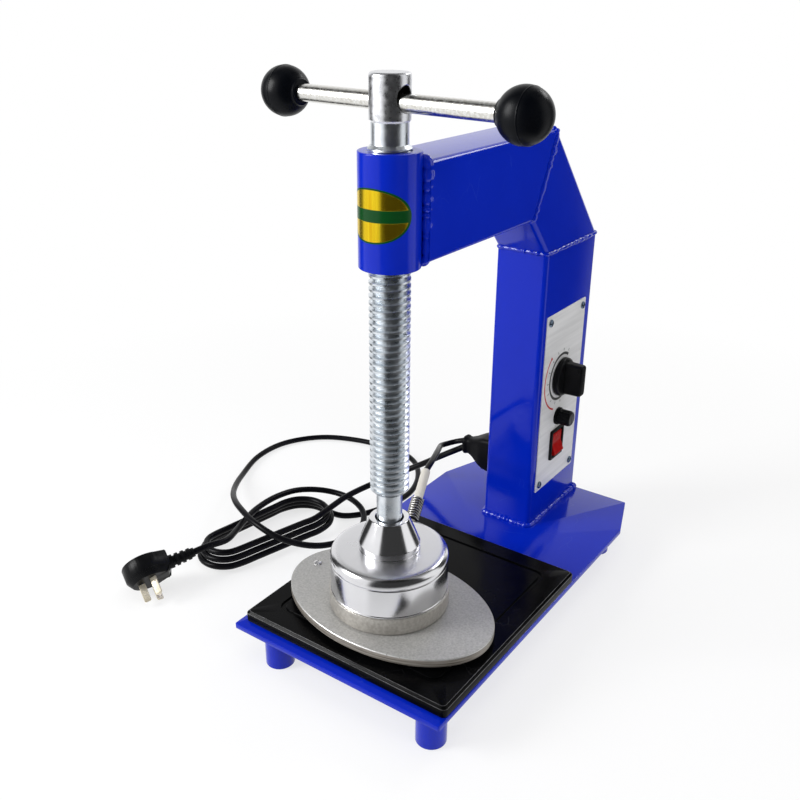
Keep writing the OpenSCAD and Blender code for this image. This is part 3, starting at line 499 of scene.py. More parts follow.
# Oval shoe
# The cast aluminium plate that meets the tire, turned a little under the screw.
# It is dull and fine-grained on top, with a bright rim, a rough sawn edge and one small slotted screw in it.
def swung(points, degrees):
    """Turns flat points anticlockwise about the origin."""
    c, s = np.cos(np.radians(degrees)), np.sin(np.radians(degrees))
    return np.asarray(points, float) @ np.array([[c, s], [-s, c]])


cast_metal = finish("cast_aluminium", (0.36, 0.355, 0.345), (0.50, 0.495, 0.48), (0.40, 0.55), 620.0,
                    fine=3000.0, bump=0.35, depth=0.0003, metal=0.4, gloss=0.3)
bright_rim = finish("machined_rim", (0.60, 0.60, 0.60), (0.74, 0.74, 0.74), (0.26, 0.40), 300.0, fine=1800.0,
                    bump=0.2, metal=0.9)
sawn_edge = finish("sawn_edge", (0.15, 0.13, 0.11), (0.42, 0.39, 0.35), (0.40, 0.55), 30.0, bump=0.5,
                   depth=0.0004, metal=0.4, gloss=0.3, stretch=(1, 1, 32))
shoe_turn, shoe_a, shoe_b, shoe_low, shoe_top, ring = -3, 94, 62, 49, 56, 160
t = full_turn(ring)
oval_edge = swung(np.stack([shoe_a * np.cos(t), shoe_b * np.sin(t)], 1), shoe_turn)
oval_out = unit(swung(np.stack([np.cos(t) / shoe_a, np.sin(t) / shoe_b], 1), shoe_turn))
shoe_rows = levels((oval_edge, oval_out), [2, 0.9, 0.25, 0, 0, 0.1, 0.35, 0.8, 1.4],
                   [shoe_low, shoe_low, 49.35, 50, 55.1, 55.45, 55.75, 55.97, shoe_top]) + (0, screw_y, 0)
shoe = skin("press_shoe", "press_head", "cast_aluminium", cast_metal, grid(shoe_rows), sharp=60)
coat_faces(shoe, (bright_rim, (5 * ring, 6 * ring)), (sawn_edge, (2 * ring, 4 * ring)))


def screw_dome(origin, along, radius, high, slot_w, cross):
    """A screw head as a height over a disc: a dome less a slot, or a cross of two slots, milled into it."""
    share = np.linspace(1, 0.02, 17)[:, None]
    a = full_turn(48)[None]
    u, v = radius * share * np.cos(a), radius * share * np.sin(a)
    dome = high * np.sqrt(np.clip(1 - 0.78 * share ** 3.2, 0, 1)) * np.ones_like(a)
    reach = np.clip((0.78 - share) / 0.06, 0, 1) if cross else 1.0
    cut = np.clip((slot_w / 2 - np.abs(u)) / 0.12 + 1, 0, 1) * reach
    if cross:
        cut = np.maximum(cut, np.clip((slot_w / 2 - np.abs(v)) / 0.12 + 1, 0, 1) * reach)
    tall = dome - 0.62 * high * cut
    first, second, axis = axes_for(along)
    top = np.asarray(origin) + u[..., None] * first + v[..., None] * second + tall[..., None] * axis
    return np.concatenate([top[:1] - axis * tall[:1, :, None], top])


zinc_bright = finish("zinc_plate", (0.66, 0.67, 0.70), (0.82, 0.83, 0.86), (0.22, 0.38), 260.0, fine=1500.0,
                     bump=0.16, metal=1.0)
screw_x, screw_off = swung([14 - shoe_a, 0], shoe_turn)
skin("shoe_screw", "press_head", "zinc", bright_rim,
     grid(screw_dome((screw_x, screw_y + screw_off, shoe_top), (0, 0, 1), 3.5, 2.0, 1.1, False)), sharp=30)


# Heater block and cap
# The block is a cast and turned aluminium disc over the heating element; the cap is a drawn steel cover.
# The cap is chrome plated: a satin lid, a rolled shoulder with a crease below it, and a straight wall.
turned_metal = finish("turned_aluminium", (0.37, 0.35, 0.32), (0.51, 0.49, 0.455), (0.30, 0.46), 420.0,
                      fine=1800.0, bump=0.25, metal=0.6)
chrome = finish("chrome_plate", (0.74, 0.74, 0.76), (0.82, 0.82, 0.84), (0.10, 0.17), 24.0, fine=300.0,
                bump=0.02, metal=1.0)
cap_chrome = finish("cap_chrome", (0.70, 0.70, 0.72), (0.80, 0.80, 0.82), (0.10, 0.17), 24.0, fine=300.0,
                    bump=0.02, metal=1.0)
tree = cap_chrome.node_tree
tall = node(tree, "SeparateXYZ", {0: node(tree, "TexCoord")["Object"]})["Z"]
satin = {label: ramp(tree, tall, 0.1046, 0.1059, polished, brushed)
         for label, polished, brushed in (("Smooth", 0.13, 0.26), ("Rough", 0.22, 0.36))}
feed(tree, tree.nodes["Group"].inputs, satin)
block_r, block_top, cap_r, cap_top = 48.5, 71, 47.5, 106
block_shape = soften([(46.0, shoe_top), (47.3, shoe_top), (47.3, shoe_top + 1), (block_r, shoe_top + 1.6),
                      (block_r, block_top), (46.2, block_top)], [0.2, 0.2, 0.4, 0.7])
skin("heater_block", "press_head", "cast_aluminium", turned_metal, grid(on_screw(block_shape, 120)))
cap_shape = soften([(46.0, block_top), (cap_r, block_top), (cap_r, 72.2), (47.1, 72.6), (47.1, 95.6),
                    (46.8, 96.4), (cap_r, 97.2), (cap_r, cap_top), (20, cap_top)],
                   [0.3, 0.3, 0.2, 0.6, 0.4, 0.4, 7.4], 8)
skin("heater_cap", "press_head", "chrome", cap_chrome, grid(on_screw(cap_shape, 144)))


# Cone cup
# A turned and chromed cup: a straight foot, a cone and a flat lip whose mouth holds the collar of the screw.
# It stands on the lid and swivels on a wear disc.
cup_r, cup_low, lip_z, mouth_r = 24.5, 105.9, 134, 11.3
cup_shape = soften([(cup_r - 0.9, cup_low), (cup_r, cup_low), (cup_r, 107.6), (cup_r - 0.5, 108),
                    (cup_r, 108.4), (cup_r, 113), (15.5, lip_z), (mouth_r, lip_z), (mouth_r, 119.5)],
                   [0.3, 0.2, 0.2, 0.2, 0.7, 0.9, 0.5])
skin("cone_cup", "press_head", "chrome", chrome, grid(on_screw(cup_shape, 120)))


# Lead screw
# A right-hand trapezoidal thread, 30 mm across and 5 mm in pitch, with a plain neck into the cup and a shank.
# Zinc plated: bluish, bright on the crests and darker down in the roots.
screw_zinc = finish("screw_zinc", (0.60, 0.65, 0.70), (0.84, 0.88, 0.92), (0.24, 0.38), 120.0, fine=1400.0,
                    bump=0.12, metal=1.0)
pitch, crest, root, thread_low, thread_high = 5.0, 15.0, 12.5, 158.0, 418.0
neck_r, shank_r = 10, 12.75
rows = np.array([(0, root), (1.5, root), (1.75, root + 0.2), (2.3, crest - 0.25), (2.5, crest), (4.0, crest),
                 (4.2, crest - 0.25), (4.75, root + 0.2), (pitch, root)])
turn_count = int((thread_high - thread_low) / pitch) + 2
t = np.linspace(0, 2 * np.pi * turn_count, turn_count * 56 + 1)[None]
tall = thread_low - pitch + pitch * t / (2 * np.pi) + rows[:, :1]
chamfer = np.minimum(tall - thread_low, thread_high - tall)
wide = np.minimum(rows[:, 1:], np.clip(shank_r + chamfer, 9.5, crest))
tall = np.clip(tall, thread_low, thread_high)
helix = xyz(wide * np.cos(t), screw_y + wide * np.sin(t), tall)
neck = soften([(12.5, 109.2), (12.5, 119.0), (neck_r, 119.2), (neck_r, 158.2)], [0.3, 0.2])
shank = soften([(crest, 415.8), (shank_r, thread_high), (shank_r, 433.2)], [0.4])
thread_foot = [(neck_r, thread_low), (shank_r, thread_low)]
skin("lead_screw", "screw", "zinc", screw_zinc, grid(helix, wrap=False, start=False, end=False),
     grid(on_screw(neck)), grid(on_screw(shank)),
     grid(on_screw(thread_foot)[::-1], start=False, end=False), sharp=50)


# Screw head
# A turned head pressed on the shank, with a cross hole larger than the bar, which can slide and rest in it.
# Zinc plated and a little brighter than the thread, with a pale ring at its foot as a painted highlight and
# painted shade in the hole.
bar_turn = np.radians(-5)
bar_way = np.array([np.cos(bar_turn), np.sin(bar_turn), 0])
bar_side = np.array([-np.sin(bar_turn), np.cos(bar_turn), 0])
head_r, hole_w, hole_h, head_low, head_high, hole_z = 14.0, 6.9, 8.5, 433.6, 460.0, 447.0


def holed_wall(way):
    """Half of the head's wall: on rays from the hole's centre, points from the wall's edge to the hole."""
    edge_w = head_r * np.pi / 2
    corners = [np.arctan2(b - hole_z, a) for a in (-edge_w, edge_w) for b in (head_low, head_high)]
    a = np.unique(np.concatenate([np.linspace(-np.pi, np.pi, 97)[:-1], corners]))
    c, s = np.cos(a), np.sin(a)
    up = np.where(s > 0, head_high - hole_z, hole_z - head_low)
    far = np.minimum(edge_w / np.maximum(np.abs(c), 1e-9), up / np.maximum(np.abs(s), 1e-9))
    share = np.concatenate([[0, 0.04], np.linspace(0.1, 1, 11)])[:, None]
    near_w, near_h = head_r * np.arcsin((hole_w + 0.5) * c / head_r), (hole_h + 0.5) * s
    w, h = near_w + (far * c - near_w) * share, near_h + (far * s - near_h) * share
    wall = xyz(head_r * np.cos(w / head_r), head_r * np.sin(w / head_r), h)
    bore_x = np.sqrt(head_r ** 2 - (hole_w * c) ** 2) - 0.5
    bore = xyz(bore_x * np.array([[0.0], [0.9], [1.0]]), hole_w * c, hole_h * s)
    local = np.concatenate([bore, wall])
    local[..., 0] *= way
    placed = local[..., :1] * bar_way + local[..., 1:2] * bar_side + local[..., 2:] * [0, 0, 1.0]
    placed = placed + (0, screw_y, hole_z)
    return placed[::-1] if way > 0 else placed


bore_painted_shade = finish("bore_painted_shade", (0.010, 0.010, 0.011), (0.03, 0.029, 0.028), (0.40, 0.60), 90.0, bump=0.2,
                    metal=0.5, gloss=0.2)
foot_painted_highlight = finish("foot_painted_highlight", (0.76, 0.77, 0.78), (0.88, 0.89, 0.90), (0.26, 0.40), 200.0, fine=1500.0,
                   metal=0.35)
crown = soften([(head_r, head_high - 0.2), (head_r, 463), (9, 463)], [2.8], 8)
collar = soften([(12.0, 432.2), (13.0, 432.2), (head_r, head_low + 0.3)], [0.2])
walls = [holed_wall(way) for way in (1, -1)]
foot_edge = grid(on_screw(collar, 96))
head = skin("screw_head", "screw", "zinc", zinc_bright,
            *[grid(wall, start=False, end=False) for wall in walls],
            grid(on_screw(crown, 96), start=False), foot_edge, sharp=45)
rows, ring = walls[0].shape[:2]
# Painted shade: the faces of the bore are near black. Painted highlight: the ring at the head's foot is pale.
coat_faces(head, (bore_painted_shade, ((rows - 3) * ring, (rows + 1) * ring)),
           (foot_painted_highlight, (-len(foot_edge[1]), None)))


# Cross bar and ball knobs
# A 12 mm plated bar lies in the hole of the head, with a moulded ball driven onto each end.
# The balls are black phenolic, each with the raised line where its mould parted.
bar_plate = finish("bar_plate", (0.66, 0.64, 0.59), (0.87, 0.87, 0.85), (0.14, 0.28), 560.0, fine=1600.0,
                   bump=0.13, metal=1.0)
bar_r, bar_half, ball_r, ball_out = 6, 102.9, 17.5, 100.5
bar_at = np.array([0, screw_y, 444.6]) + 3 * bar_way
bar_shape = [(bar_r - 0.8, -bar_half), (bar_r, 0.8 - bar_half), *[(bar_r, h) for h in (-60, -20, 20, 60)],
             (bar_r, bar_half - 0.8), (bar_r - 0.8, bar_half)]
skin("handle_bar", "handle", "chrome", bar_plate, grid(turned(bar_shape, bar_at, bar_way, 64)))
ball_black = finish("ball_phenolic", (0.0010, 0.0014, 0.0026), (0.002, 0.0026, 0.0042), (0.28, 0.40), 60.0,
                    fine=800.0, gloss=0.12)
ball_neck = [(6.02, -12), (6.02, -16.6), (8.3, -16.6), (8.8, -16.3), (9.2, -15.2)]
for name, way, parting in (("left", -1, 0.0), ("right", 1, 4.6)):
    ball, line = ball_r * np.sin(np.linspace(-1.0, 1.55, 49)), parting + np.linspace(-1.2, 1.2, 17)
    tall = np.sort(np.concatenate([ball, line]))
    profile = np.stack([np.sqrt(np.maximum(0, ball_r ** 2 - tall ** 2)), tall], 1)
    profile[:, 0] += 0.2 * np.exp(-((tall - parting) / 0.4) ** 4)
    profile = np.concatenate([ball_neck, profile])
    skin("ball_knob_" + name, "handle", "knob_plastic", ball_black,
         grid(turned(profile, bar_at + way * ball_out * bar_way, way * bar_way, 96)))


# Control panel
# A 1 mm sheet of brushed aluminium on the side of the column, held by four screws.
# It carries the timer's dial: a black ring and a red arc, printed, with short marks between them.
panel_metal = finish("brushed_panel", (0.68, 0.68, 0.685), (0.80, 0.80, 0.805), (0.30, 0.42), 10.0,
                     fine=300.0, metal=0.15, stretch=(1, 1.2, 26))
panel_face, panel_y, panel_z, dial_y, dial_z = 26.0, 133.0, 157.5, 130.0, 179.0


def on_panel(rows, y, z):
    """Puts points of (across, up, out) on the panel round a place: out is +X, across +Y and up +Z."""
    return xyz(rows[..., 2], rows[..., 0] + y, rows[..., 1] + z)


sheet_rows = levels(box_ring(78, 177, 1.5, 4), [0.1, 0, 0, 0.25], [25.0, 25.1, 25.8, panel_face])
skin("control_panel", "frame", "panel_metal", panel_metal, grid(on_panel(sheet_rows, panel_y, panel_z)))
print_black = finish("dial_ink", (0.012, 0.012, 0.013), (0.02, 0.02, 0.02), (0.4, 0.5), 80.0, bump=0.02,
                     depth=0.0001)
print_red = finish("dial_red", (0.45, 0.010, 0.012), (0.55, 0.016, 0.016), (0.4, 0.5), 80.0, bump=0.02,
                   depth=0.0001)


def printed_arc(radius, wide, low, high):
    """A flat band of ink round the dial's centre, between two angles, 0.06 proud of the panel."""
    a = np.radians(np.linspace(low, high, 73))[None]
    r = np.array([radius + wide / 2, radius - wide / 2])[:, None]
    flat = xyz(r * np.cos(a), r * np.sin(a), panel_face + 0.06)
    return grid(on_panel(flat, dial_y, dial_z), wrap=False, start=False, end=False)


ticks = [printed_arc(26.3, 2.6, a - 0.9, a + 0.9) for a in range(60, 301, 24)]
piece("dial_ring", "frame", "black_plastic", print_black, printed_arc(22.3, 2.5, 55, 305), *ticks)
piece("dial_arc", "frame", "red_plastic", print_red, printed_arc(32.3, 1.6, 134, 250),
      printed_arc(32.3, 3.4, 130.5, 134))
blue_zinc = finish("blue_zinc", (0.10, 0.15, 0.22), (0.26, 0.33, 0.42), (0.18, 0.30), 300.0, fine=1500.0,
                   metal=1.0)
for k, (y, z) in enumerate([(100.5, 75.5), (100.5, 239.5), (165.5, 75.5), (165.5, 239.5)]):
    skin(f"panel_screw_{k + 1}", "frame", "zinc", blue_zinc,
         grid(screw_dome((panel_face, y, z), (1, 0, 0), 3.5, 2.0, 1.0, True)), sharp=30)


# Timer knob
# A black moulded knob: a round skirt with a bevel, and a tall bar grip that points to the set time.
# It turns on the spindle of the clockwork timer behind the panel.
black_moulding = finish("black_moulding", (0.0025, 0.0027, 0.0033), (0.006, 0.0063, 0.007), (0.26, 0.38),
                        50.0, fine=1100.0, gloss=0.10)
skirt_r, skirt_low, skirt_top = 18.5, 27, 32
skirt = soften([(skirt_r - 0.6, skirt_low), (skirt_r, skirt_low), (skirt_r, skirt_top - 1.6),
                (skirt_r - 1.6, skirt_top), (9, skirt_top)], [0.3, 0.8, 0.8])
grip = stacked([(11.6, 31, 3.0, 31.5), (11.2, 30.7, 3.0, 38), (10.8, 30.3, 3.0, 46.6),
                (10.2, 29.7, 3.0, 48.2), (8.8, 28.4, 2.6, 48.9), (7.4, 27.0, 2.2, 49.0)], 7)
skin("timer_knob", "timer_knob", "knob_plastic", black_moulding,
     grid(turned(skirt, (0, dial_y, dial_z), (1, 0, 0), 96)), grid(on_panel(grip, dial_y, dial_z)), sharp=30)


# Fuse
# A bayonet fuse holder with a ribbed cap that is pushed and turned to change the fuse.
# The cap's end is a paler disc with a driver slot.
fuse_z, fuse_r, rib_count, rib_deep = 138.0, 7.5, 20, 0.5
t = full_turn(128)
cap_rows = np.array([(fuse_r - 0.3, 28.1), (fuse_r, 28.4), (fuse_r, 29.6), (fuse_r, 30.2), (fuse_r, 38.4),
                     (7.4, 39.4), (6.9, 40.4), (5.9, 41.0), (5.65, 41.1), (5.65, 40.2)])
ribbed = np.array([0, 0, 0, 1, 1, 0.8, 0.2, 0, 0, 0])[:, None]
rib_r = cap_rows[:, :1] - rib_deep * ribbed * (0.5 + 0.5 * np.cos(rib_count * t)) ** 0.7
ribs = on_panel(xyz(rib_r * np.cos(t), rib_r * np.sin(t), cap_rows[:, 1:]), dial_y, fuse_z)
skin("fuse_cap", "fuse_cap", "black_plastic", black_moulding, grid(ribs), sharp=50)
grey_end = finish("fuse_end_grey", (0.03, 0.03, 0.033), (0.07, 0.07, 0.075), (0.30, 0.45), 60.0, bump=0.05,
                  depth=0.0001)
piece("fuse_cap_end", "fuse_cap", "black_plastic", grey_end,
      grid(screw_dome((40.3, dial_y, fuse_z), (1, 0, 0), 5.6, 0.8, 1.2, False)), sharp=30)


# Mains switch
# A red rocker in a black bezel, with its lower half standing out.
# The rocker is moulded with two sloping faces and clicks over on a pin behind the panel.
switch_z, rocker_x, rocker_tilt = 110.0, 27, 10
bezel = stacked([(22.4, 26.8, 1.0, 17.4), (22.4, 26.8, 1.0, panel_face), (25.6, 30.6, 1.8, panel_face),
                 (26, 31, 2.0, 26.3), (26, 31, 2.0, 27.6), (25.0, 30.0, 1.9, 28.4), (22.2, 26.6, 1.2, 28.5),
                 (21.2, 25.6, 0.9, 28.1), (20.9, 25.3, 0.8, 18.6)], 6)
piece("switch_bezel", "frame", "black_plastic", black_moulding, grid(on_panel(bezel, dial_y, switch_z)),
      stands_for=["switch_housing"], sharp=30)
red_rocker = finish("rocker_red", (0.28, 0.0025, 0.0025), (0.38, 0.0045, 0.004), (0.18, 0.28), 70.0,
                    bump=0.04, depth=0.0001, gloss=0.15)
rocker_line = soften([(-3, 0), (-3, -9), (-0.6, -11.4), (2.4, -10.6), (0.4, 0), (2.4, 10.6), (-0.6, 11.4),
                      (-3, 9), (-3, 0)], [0.3, 0.5, 0.8, 1.2, 0.8, 0.5, 0.3])[:-1]
rocker_line = swung(rocker_line, rocker_tilt)
rocker_mid = rocker_line.mean(0)
share = np.array([0.96, 0.99, 1, 1, 0.99, 0.96])[:, None, None]
thin = rocker_mid + (rocker_line - rocker_mid) * share
across = np.array([-9.0, -8.8, -8.4, 8.4, 8.8, 9.0])[:, None]
rocker = on_panel(xyz(across, thin[..., 1], rocker_x + thin[..., 0]), dial_y, switch_z)
skin("switch_rocker", "switch_rocker", "red_plastic", red_rocker, grid(rocker[::-1]), sharp=30)


# Cable boot
# A moulded rubber boot on the left side of the column, over both leads where they come out.
# It tapers from a square flange to a narrow throat with a rolled lip.
rubber = finish("black_rubber", (0.0025, 0.0026, 0.0035), (0.006, 0.006, 0.0075), (0.36, 0.50), 40.0,
                fine=1300.0, bump=0.14, gloss=0.10)
boot_y, boot_z = 108, 91
boot = stacked([(26, 34, 4, 25), (26.6, 34.6, 4, 26), (26.6, 34.6, 4, 31), (25.6, 33.6, 4, 33),
                (25.8, 33.8, 4.4, 35.5), (22, 29, 4.5, 42), (15, 21, 4.5, 50), (12.4, 17.4, 4.5, 55),
                (12.2, 17.2, 4.5, 57.5), (13.6, 18.6, 5, 58.6), (13.8, 18.8, 5, 60.6), (12.4, 17.4, 5, 61.9),
                (9, 14, 4, 62)], 7)
skin("cable_boot", "frame", "cord_rubber", rubber,
     grid(xyz(-boot[..., 2], boot_y - boot[..., 0], boot_z + boot[..., 1])), sharp=40)


# Mains cord
# A round black three-core cord, 6.2 mm across, from the boot to its plug: down to the bench, two and seven
# eighths turns bundled beside the press, then one wide loose loop that crosses the bundle to the plug.
def smooth(points, n):
    """A curve through points, each span a cubic whose end slopes follow the neighbouring points."""
    p = np.asarray(points, float)
    pad = np.concatenate([p[:1], p, p[-1:]])
    a, b, c, d = pad[:-3, None], pad[1:-2, None], pad[2:-1, None], pad[3:, None]
    t = (np.arange(n) / n)[None, :, None]
    bend, twist = 2 * a - 5 * b + 4 * c - d, 3 * b - a - 3 * c + d
    curve = 0.5 * (2 * b + (c - a) * t + bend * t ** 2 + twist * t ** 3)
    return np.concatenate([curve.reshape(-1, 3), p[-1:]])


cord_r = 3.1
near, far = np.array([-212.0, -84.0]), np.array([-193.0, 2.0])
turn_points, hank_points, hank_spread, hank_drop = 24, 70, 3.2, 5.8
hank_way = unit(far - near)
hank_east = np.array([hank_way[1], -hank_way[0]])
u = (np.arange(hank_points) / turn_points)[:, None]
quarter, f = np.floor(u * 4).astype(int) % 4, (u * 4) % 1
near_r, far_r = 19 + hank_spread * u, 25 + hank_spread * u
a = np.pi * f
straight_in = (far + far_r * hank_east) * (1 - f) + (near + near_r * hank_east) * f
round_near = near + near_r * (hank_east * np.cos(a) - hank_way * np.sin(a))
straight_out = (near - near_r * hank_east) * (1 - f) + (far - far_r * hank_east) * f
round_far = far + far_r * (hank_way * np.sin(a) - hank_east * np.cos(a))
hank_flat = np.choose(quarter, [straight_in, round_near, straight_out, round_far])
hank = np.column_stack([hank_flat, cord_r + 0.1 + hank_drop * (u[-1] - u)])
run = [(-62, 108, 87.5), (-84, 104, 73), (-112, 104, 53), (-138, 94, 37), (-156, 72, 28), (-165, 44, 24.5),
       (-167, 18, 22)]
loop = [(-168, 36.5, 3.6), (-155, 46, 4), (-145, 63, 4), (-137, 91, 4), (-137, 123, 4), (-151, 156, 4),
        (-176, 182, 4), (-212, 192, 4), (-260, 186, 4), (-302, 166, 4), (-328, 128, 4), (-330, 84, 4),
        (-312, 38, 5), (-286, 0, 14), (-256, -30, 26), (-226, -50, 33), (-193, -62, 33), (-164, -58, 25),
        (-140, -38, 16), (-127, -8, 12), (-130, 24, 12), (-148, 47, 13), (-176, 57, 14), (-203, 50, 16),
        (-219, 28, 21), (-224, 0, 24.5), (-224, -28, 24.6), (-217, -54, 25.5), (-207, -77, 28),
        (-199.5, -97, 31)]
plug_turn, plug_lean, plug_roll = np.radians([70, 34, 12])
plug_at = np.array([-238.0, -166.0, 28.1])
level_x = np.array([np.cos(plug_turn), np.sin(plug_turn), 0])
level_y = np.array([level_x[1] * np.sin(plug_lean), -level_x[0] * np.sin(plug_lean), np.cos(plug_lean)])
plug_x = np.cos(plug_roll) * level_x + np.sin(plug_roll) * level_y
plug_y = np.cos(plug_roll) * level_y - np.sin(plug_roll) * level_x
plug_z = np.cross(plug_x, plug_y)
relief_end, relief_z = 46, 10
cord_end = plug_at + relief_end * plug_x + relief_z * plug_z
route = smooth(np.concatenate([run, hank, loop, [cord_end + 14 * plug_x, cord_end]]), 6)
cord_skin = finish("cord_sheath", (0.002, 0.002, 0.003), (0.005, 0.005, 0.0065), (0.26, 0.40), 30.0,
                   fine=1500.0, gloss=0.10)
cord = piece("mains_cord", "frame", "cord_rubber", cord_skin, grid(tube(route, cord_r, 14)),
             stands_for=["power_cord_lead", "power_cord_hank", "power_cord_loop"])


# Plug
# A moulded right-angle plug: a round body drawn out to a neck, a ribbed bend relief and three flat pins.
# The pins are nickelled brass, two set aslant and one square to them.
def in_plug(points):
    """Places points given along the plug's own three directions."""
    return plug_at + points[..., :1] * plug_x + points[..., 1:2] * plug_y + points[..., 2:] * plug_z


plug_r, neck_x, neck_half = 20, 22.0, 10.5
a = np.radians(np.arange(52, 309, 8))
plug_round = np.stack([plug_r * np.cos(a), plug_r * np.sin(a)], 1)
plug_edge = corner_arcs(np.concatenate([[(neck_x, -neck_half), (neck_x, neck_half)], plug_round]), 1.0, 2)
shell = levels(plug_edge, [2.0, 0.6, 0, 0, 0.3, 3.5, 4.2], [0, 0.3, 1.4, 13.6, 14.2, 19.4, 20])
relief_shape = [(6.2, 21)]
for k in range(4):
    rib_x, thick, waist = 5.6 * k, 6.5 - 0.3 * k, 4.7 - 0.1 * k
    relief_shape += [(thick - 0.1, 22.4 + rib_x), (thick, 25.4 + rib_x),
                     (waist, 25.9 + rib_x), (waist, 27.6 + rib_x)]
relief_shape = np.array(relief_shape[:-1] + [(4.3, relief_end)])
relief = turned(relief_shape, plug_at + relief_z * plug_z, plug_x, 48)
plug = skin("plug_body", "frame", "cord_rubber", black_moulding, grid(in_plug(shell)), grid(relief), sharp=35)
nickel = finish("nickelled_pin", (0.70, 0.63, 0.48), (0.84, 0.78, 0.64), (0.18, 0.30), 120.0, fine=1200.0,
                bump=0.06, depth=0.0001, metal=0.4)
blade = stacked([(6.2, 1.5, 0.3, 18), (6.2, 1.5, 0.3, 35.4), (5.6, 1.2, 0.3, 36.6), (4.6, 0.7, 0.2, 37)], 3)
for k, (pin_x, pin_y, pin_turn) in enumerate([(3, 7.9, 30), (3, -7.9, -30), (-8, 0, 0)]):
    placed = np.concatenate([swung(blade[..., :2], pin_turn) + (pin_x, pin_y), blade[..., 2:]], -1)
    skin(f"plug_pin_{k + 1}", "frame", "pin_brass", nickel, grid(in_plug(placed)), sharp=30)


# Heater lead
# The cable that feeds the heater: black from the boot, then in a white fibre sleeve where it nears the cap.
# It has slack for the head's rise, and a coil spring round its last stretch keeps it from kinking.
port = np.array([-11.0, -62.0, 100.0])
lead_way = unit([-20.0, 50.0, 18.0])
hot_length, spring_from, spring_length = 62, 4, 24
hot_route = smooth(port + lead_way * np.arange(2, hot_length + 1, 10)[:, None], 8)
cold_route = smooth([port + lead_way * hot_length, (-38, 9, 119.5), (-49, 34, 114.5), (-63, 60, 104),
                     (-76, 82, 93), (-81, 93, 89), (-78.5, 101.5, 88.5), (-72, 107, 90.5),
                     (-62, 108, 94.5)][::-1], 8)
lead = piece("heater_lead", "frame", "cord_rubber", cord_skin, grid(tube(cold_route, 2.7, 14)),
             stands_for=["heater_lead_cable"], rides=False)
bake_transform(lead)
fibre, tree, shader = new_look("white_fibre_sleeve")
wound = node(tree, "Mapping", {"Vector": node(tree, "UVMap")[0], "Scale": (10, 0.55, 1)})
weave = node(tree, "TexWave", {"Vector": wound[0], "Scale": 1.0, "Distortion": 0.6, "Detail": 2.0},
             bands_direction="DIAGONAL")
braid = node(tree, "Bump", {"Height": weave[1], "Strength": 0.3, "Distance": 0.0004})
feed(tree, shader, {"Base Color": colour_mix(tree, weave[1], (0.56, 0.53, 0.46, 1), (0.78, 0.76, 0.70, 1)),
                    "Roughness": 0.8, "Normal": braid[0]})
ring = 20
hot_size = np.full(len(hot_route), 4.0)
hot_size[-3:] = [4.0, 3.8, 3.2]
white_sleeve = piece("heater_lead_fibre", "press_head", "white_fibre", fibre,
                     grid(tube(hot_route, hot_size, ring)), stands_for=["heater_lead_sleeve"], rides=False)
# Painted shade: where the spring wraps it, the sleeve takes the black cord finish, so the gaps between the
# coils look dark.
in_spring = np.searchsorted((hot_route - port) @ lead_way, spring_from + spring_length - 1.0)
coat_faces(white_sleeve, (cord_skin, (0, ring * in_spring)))
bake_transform(white_sleeve)
spring_steel = finish("spring_steel", (0.46, 0.45, 0.43), (0.64, 0.63, 0.61), (0.20, 0.32), 120.0,
                      fine=1000.0, bump=0.08, depth=0.0001, metal=1.0)
coil_turns, coil_r, wire_r = 9, 5.05, 0.75
side = unit(np.cross(lead_way, [0, 0, 1]))
a = np.linspace(0, coil_turns * 2 * np.pi, coil_turns * 36 + 1)[:, None]
coil = port + lead_way * (spring_from + spring_length * a / a[-1])
coil = coil + coil_r * (np.cos(a) * side + np.sin(a) * np.cross(side, lead_way))
skin("lead_spring", "press_head", "zinc", spring_steel, grid(tube(coil, wire_r, 10, lead_way)))


# Hidden pieces
# What shows only when the press is taken apart keeps its solid, with a finish of its own: the plate's bolts,
# the heating element with its pad, the wear disc, the timer and the fuse, whose holder's flange does show.
plate_bolts = [f"plate_bolt_{k}" for k in (1, 2, 3, 4)]
for look, names in ((zinc_bright, [*plate_bolts, "timer_spindle"]), (turned_metal, ["heater_disc"]),
                    (fibre, ["insulation_pad"]), (nickel, ["thrust_disc"]),
                    (black_moulding, ["timer_body", "fuse_holder"]), (grey_end, ["fuse_link"])):
    for name in names:
        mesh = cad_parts[name].data
        mesh.materials.clear()
        mesh.materials.append(look)


# Floor and light
# A white bench that runs out of the frame: it takes the press's shadow, and further out it glows to white.
# A window lamp stands left of the front, soft lamps overhead and right, and a small one behind for edges.
def room_light():
    """What metal mirrors, by the level direction: white left and behind, a strip right, dark in front."""
    tree, given, out = effect("room_light", [("Vector", "Vector", None)], [("Level", "Float")])
    level_way = node(tree, "VectorMath", {0: given["Vector"], 1: (1, 1, 0)}, operation="MULTIPLY")
    level_way = node(tree, "VectorMath", {0: level_way[0]}, operation="NORMALIZE")[0]
    lobes = []
    for facing, faint, full in (((-0.556, -0.831, 0), 0.78, 0.87), ((0.873, 0.488, 0), 0.925, 0.965),
                                ((-0.577, 0.817, 0), 0.56, 0.76)):
        share = node(tree, "VectorMath", {0: level_way, 1: facing}, operation="DOT_PRODUCT")["Value"]
        lobes.append(ramp(tree, share, faint, full, 0.04, interpolation_type="SMOOTHSTEP"))
    most = calc(tree, "MAXIMUM", calc(tree, "MAXIMUM", lobes[0], lobes[1]), lobes[2])
    feed(tree, out, {"Level": most})
    return tree


